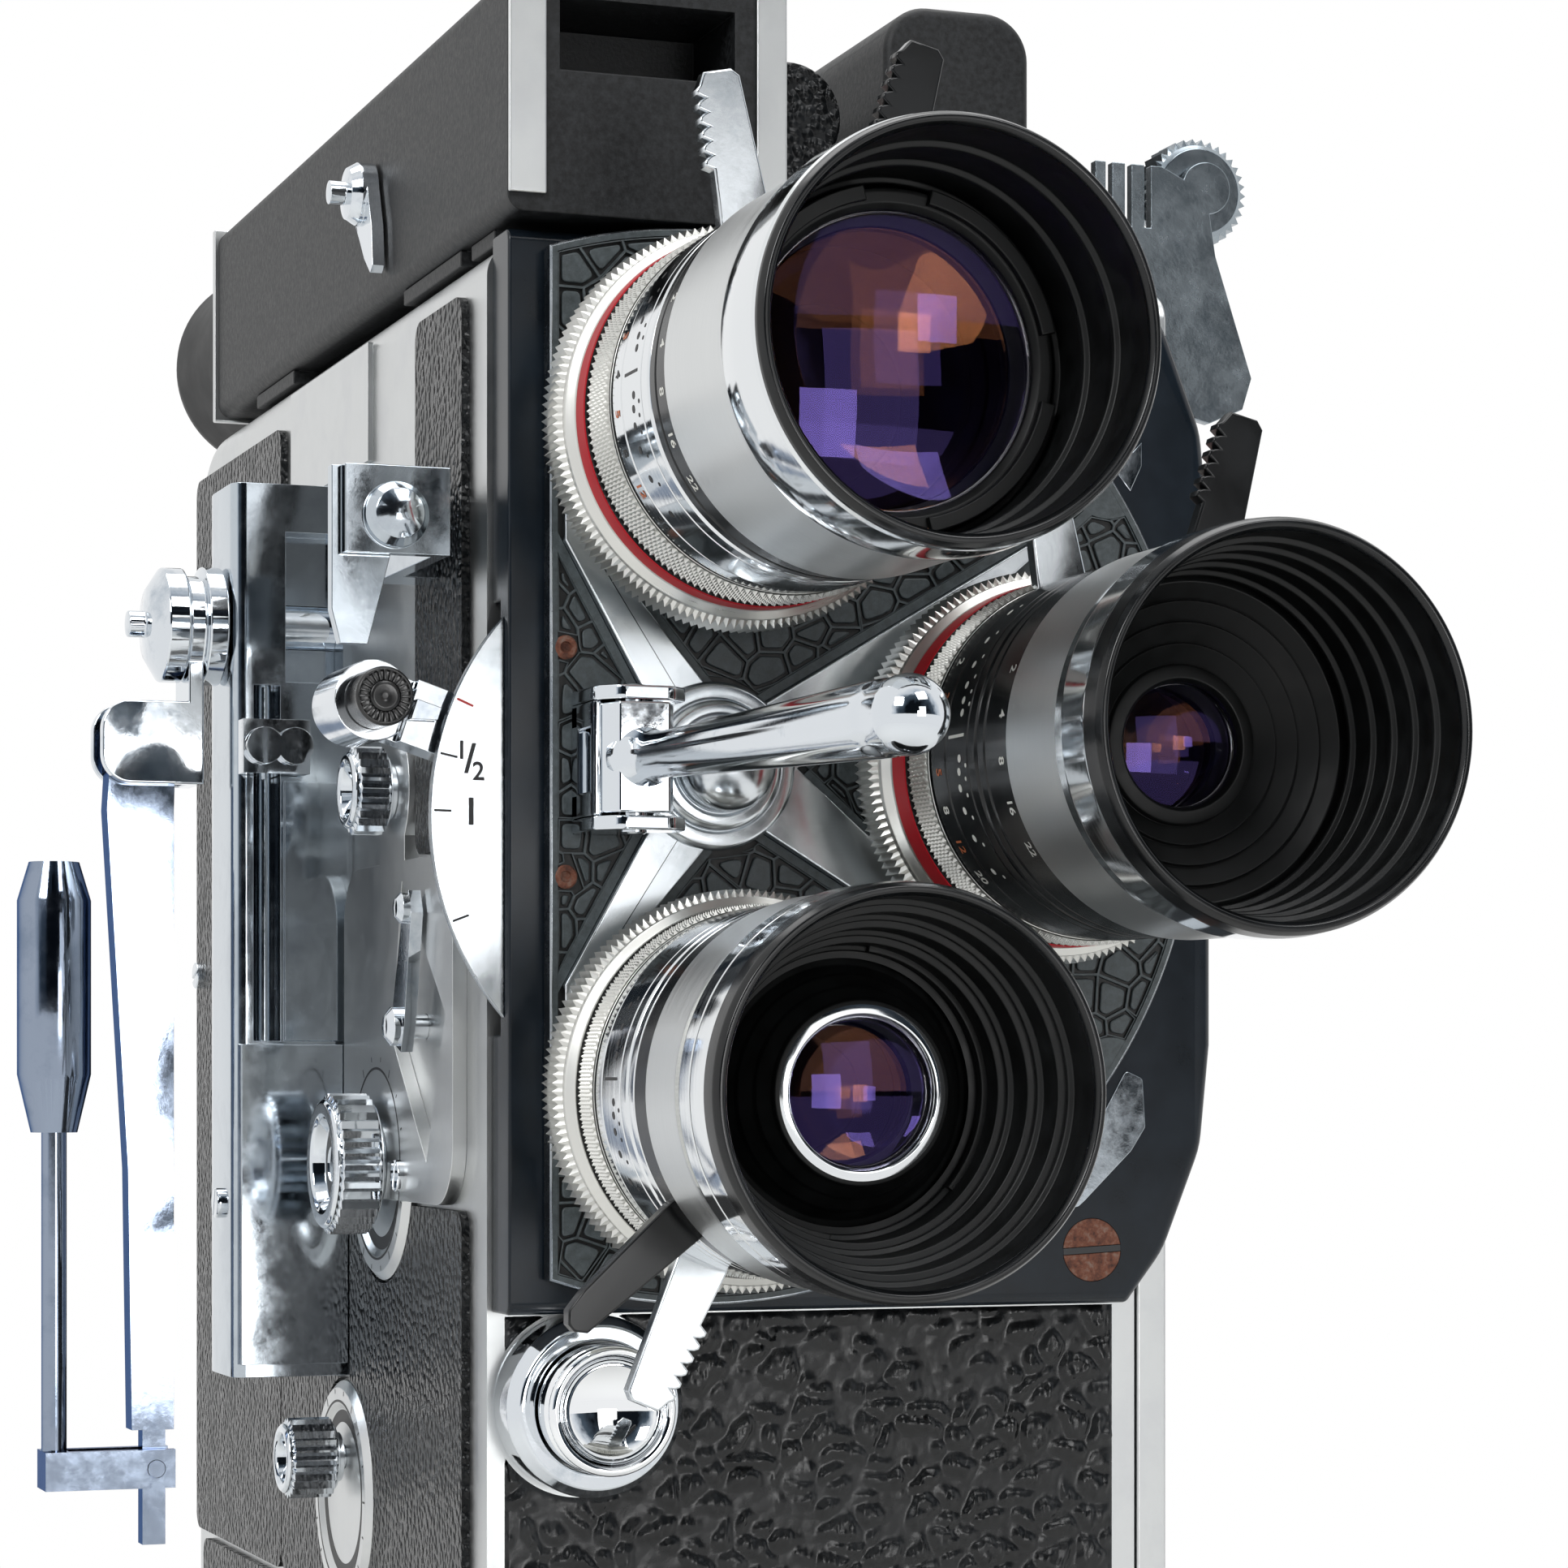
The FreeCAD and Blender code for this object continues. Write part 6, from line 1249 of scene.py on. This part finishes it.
for node, material, slot, width in [
        ("base_plate", SATIN, "satin_aluminium", 0.4),
        ("front_plate", ENAMEL, "black_enamel", 0.3),
        ("control_plates", SATIN, "satin_aluminium", 0.2),
        ("release_collar", CHROME, "chrome", 0.25),
        ("fader_housing", SCUFFED, "chrome", 0.35),
        ("fader_carriage", CHROME, "chrome", 0.2),
        ("fader_bracket", SCUFFED, "chrome", 0.25),
        ("shutter_lever", CHROME, "chrome", 0.2),
        ("crank_hub", CHROME, "chrome", 0.3),
        # The crank's chrome is painted darker and bluer: painted shade and painted reflection
        ("crank_arm", CHROME_WITH_PAINTED_BLUE_SHADE, "chrome", 0.4),
        ("crank_grip", CHROME_WITH_PAINTED_BLUE_SHADE, "chrome", 0.3),
        ("selector_lever", CHROME, "chrome", 0.2),
        ("finder_housing", CRINKLE, "black_enamel", 0.5),
        ("finder_trim", SATIN, "satin_aluminium", 0.2),
        ("reflex_housing", CRINKLE, "black_enamel", 0.3),
        ("carrying_handle", SIDE_LEATHER, "black_leather", 0.5),
        ("film_door", SATIN, "satin_aluminium", 0.3),
        ("door_latch_upper", CHROME, "chrome", 0.3),
        ("door_latch_lower", CHROME, "chrome", 0.3),
        ("accessory_bracket", WORN, "chrome", 0.25),
        ("finder_lever", CHROME, "chrome", 0.25),
        ("door_leather", SIDE_LEATHER, "black_leather", 0.3)]:
    softened(node, material, width)
softened("leather_panels", SIDE_LEATHER, 0.25, keep=lambda at: at.y > CASE_Y + 0.5)


# Carried-over solids

KEPT = {
    "body_casting": SATIN, "mechanism_plate": LACQUER, "film_gate": CHROME, "pressure_plate": CHROME,
    "shutter_disc": LACQUER, "sprocket_upper": SATIN, "sprocket_lower": SATIN, "supply_spindle": STEEL,
    "takeup_spindle": STEEL, "spring_barrel": STEEL,
}
for node, material in KEPT.items():
    slots = frame["nodes"][node].data.materials
    slots.clear()
    slots.append(material)


# Camera, light and floor

def studio():
    """The photographer's place, a white surround, soft lamps and a pale floor."""
    scene = bpy.context.scene
    camera = bpy.data.cameras.new("camera")
    camera.lens = 93.6
    camera.sensor_width = 36
    camera.shift_y = 0.184
    camera.clip_start = 0.01
    holder = bpy.data.objects.new("camera", camera)
    scene.collection.objects.link(holder)
    turn = math.radians(19.86)
    look = Vector((math.sin(turn), math.cos(turn), 0))
    holder.matrix_world = Matrix.Translation(Vector((-137.3, -431.2, 119.2)) * MM) @ (
        look.to_track_quat("-Z", "Y").to_matrix().to_4x4())
    scene.camera = holder

    world = bpy.data.worlds.new("studio")
    scene.world = world
    world.use_nodes = True
    tree = world.node_tree
    tree.nodes.clear()
    way = add(tree, "ShaderNodeTexCoord")
    axes = add(tree, "ShaderNodeSeparateXYZ", None, {"Vector": (way, "Generated")})
    # Metal and glass see a white room that falls off to blue-grey in front, with uneven edges
    clutter = add(tree, "ShaderNodeTexNoise", {"Scale": 2.3, "Detail": 3, "Roughness": 0.55},
                  {"Vector": (way, "Generated")})
    loose = add(tree, "ShaderNodeMapRange", {"To Min": -0.3, "To Max": 0.3}, {"Value": (clutter, "Fac")})
    depth = add(tree, "ShaderNodeMath", None, {0: (axes, "Y"), 1: (loose, "Result")}, operation="ADD")
    fall = add(tree, "ShaderNodeMapRange", {"From Min": -0.95, "From Max": -0.15}, {"Value": (depth, "Value")})
    room = add(tree, "ShaderNodeValToRGB", None, {"Fac": (fall, "Result")},
               [(0.1, "#11151a"), (0.42, "#4c5864"), (0.62, "#cfd6de"), (0.85, "#ffffff")])
    rays = add(tree, "ShaderNodeLightPath")
    mirrored = add(tree, "ShaderNodeMath", None, {0: (rays, "Is Glossy Ray"), 1: (rays, "Is Transmission Ray")},
                   operation="MAXIMUM")
    soft = add(tree, "ShaderNodeBackground", {"Color": linear("#ffffff"), "Strength": 0.34})
    around = add(tree, "ShaderNodeBackground", {"Strength": 1.0}, {"Color": (room, "Color")})
    white = add(tree, "ShaderNodeBackground", {"Color": linear("#ffffff"), "Strength": 1.0})
    lit = add(tree, "ShaderNodeMixShader", None, {0: (mirrored, "Value"), 1: (soft, "Background"),
                                                  2: (around, "Background")})
    shown = add(tree, "ShaderNodeMixShader", None, {0: (rays, "Is Camera Ray"), 1: (lit, "Shader"),
                                                    2: (white, "Background")})
    add(tree, "ShaderNodeOutputWorld", links={"Surface": (shown, "Shader")})

    for name, place, aim, wide, tall, power in [
            ("key", (-0.85, -0.75, 0.8), (0, 0, 0.14), 0.5, 0.5, 8),
            ("window", (0.27, -1.12, 0.23), (-0.03, -0.07, 0.14), 0.36, 0.46, 0.8),
            ("second_window", (0.117, -1.21, 0.117), (-0.015, -0.13, 0.15), 0.22, 0.26, 1.4),
            ("fill", (0.3, -0.8, 0.95), (0, 0, 0.14), 0.5, 0.4, 4),
            ("top", (0.0, 0.1, 0.95), (0, 0, 0.1), 0.8, 0.6, 4)]:
        lamp = bpy.data.lights.new(name, "AREA")
        lamp.shape = "RECTANGLE"
        lamp.size, lamp.size_y, lamp.energy = wide, tall, power
        stand = bpy.data.objects.new(name, lamp)
        scene.collection.objects.link(stand)
        aimed = (Vector(aim) - Vector(place)).to_track_quat("-Z", "Y")
        stand.matrix_world = Matrix.Translation(Vector(place)) @ aimed.to_matrix().to_4x4()

    floor_mesh = bpy.data.meshes.new("floor")
    reach = 4.0
    floor_mesh.from_pydata([(-reach, -reach, 0), (reach, -reach, 0), (reach, reach, 0), (-reach, reach, 0)], [],
                           [(0, 1, 2, 3)])
    floor = bpy.data.objects.new("floor", floor_mesh)
    scene.collection.objects.link(floor)
    # Matt white paper: it keeps the shadow near the camera's feet and turns to plain white further off
    paper, tree, shader, spot = blank("matt_paper", Roughness=0.9, Base_Color=linear("#f4f4f2"))
    far = add(tree, "ShaderNodeVectorMath", None, {0: spot["Vector"]}, operation="LENGTH")
    away = add(tree, "ShaderNodeMapRange", {"From Min": 0.16, "From Max": 0.42}, {"Value": (far, "Value")})
    rays = add(tree, "ShaderNodeLightPath")
    seen = add(tree, "ShaderNodeMath", None, {0: (rays, "Is Camera Ray"), 1: (rays, "Is Glossy Ray")},
               operation="MAXIMUM")
    share = add(tree, "ShaderNodeMath", None, {0: (seen, "Value"), 1: (away, "Result")}, operation="MULTIPLY")
    glow = add(tree, "ShaderNodeEmission", {"Color": linear("#ffffff"), "Strength": 1.0})
    mixed = add(tree, "ShaderNodeMixShader", None, {0: (share, "Value"), 1: (shader, "BSDF"), 2: (glow, "Emission")})
    output = next(node for node in tree.nodes if node.bl_idname == "ShaderNodeOutputMaterial")
    tree.links.new(mixed.outputs["Shader"], output.inputs["Surface"])
    floor_mesh.materials.append(paper)


studio()
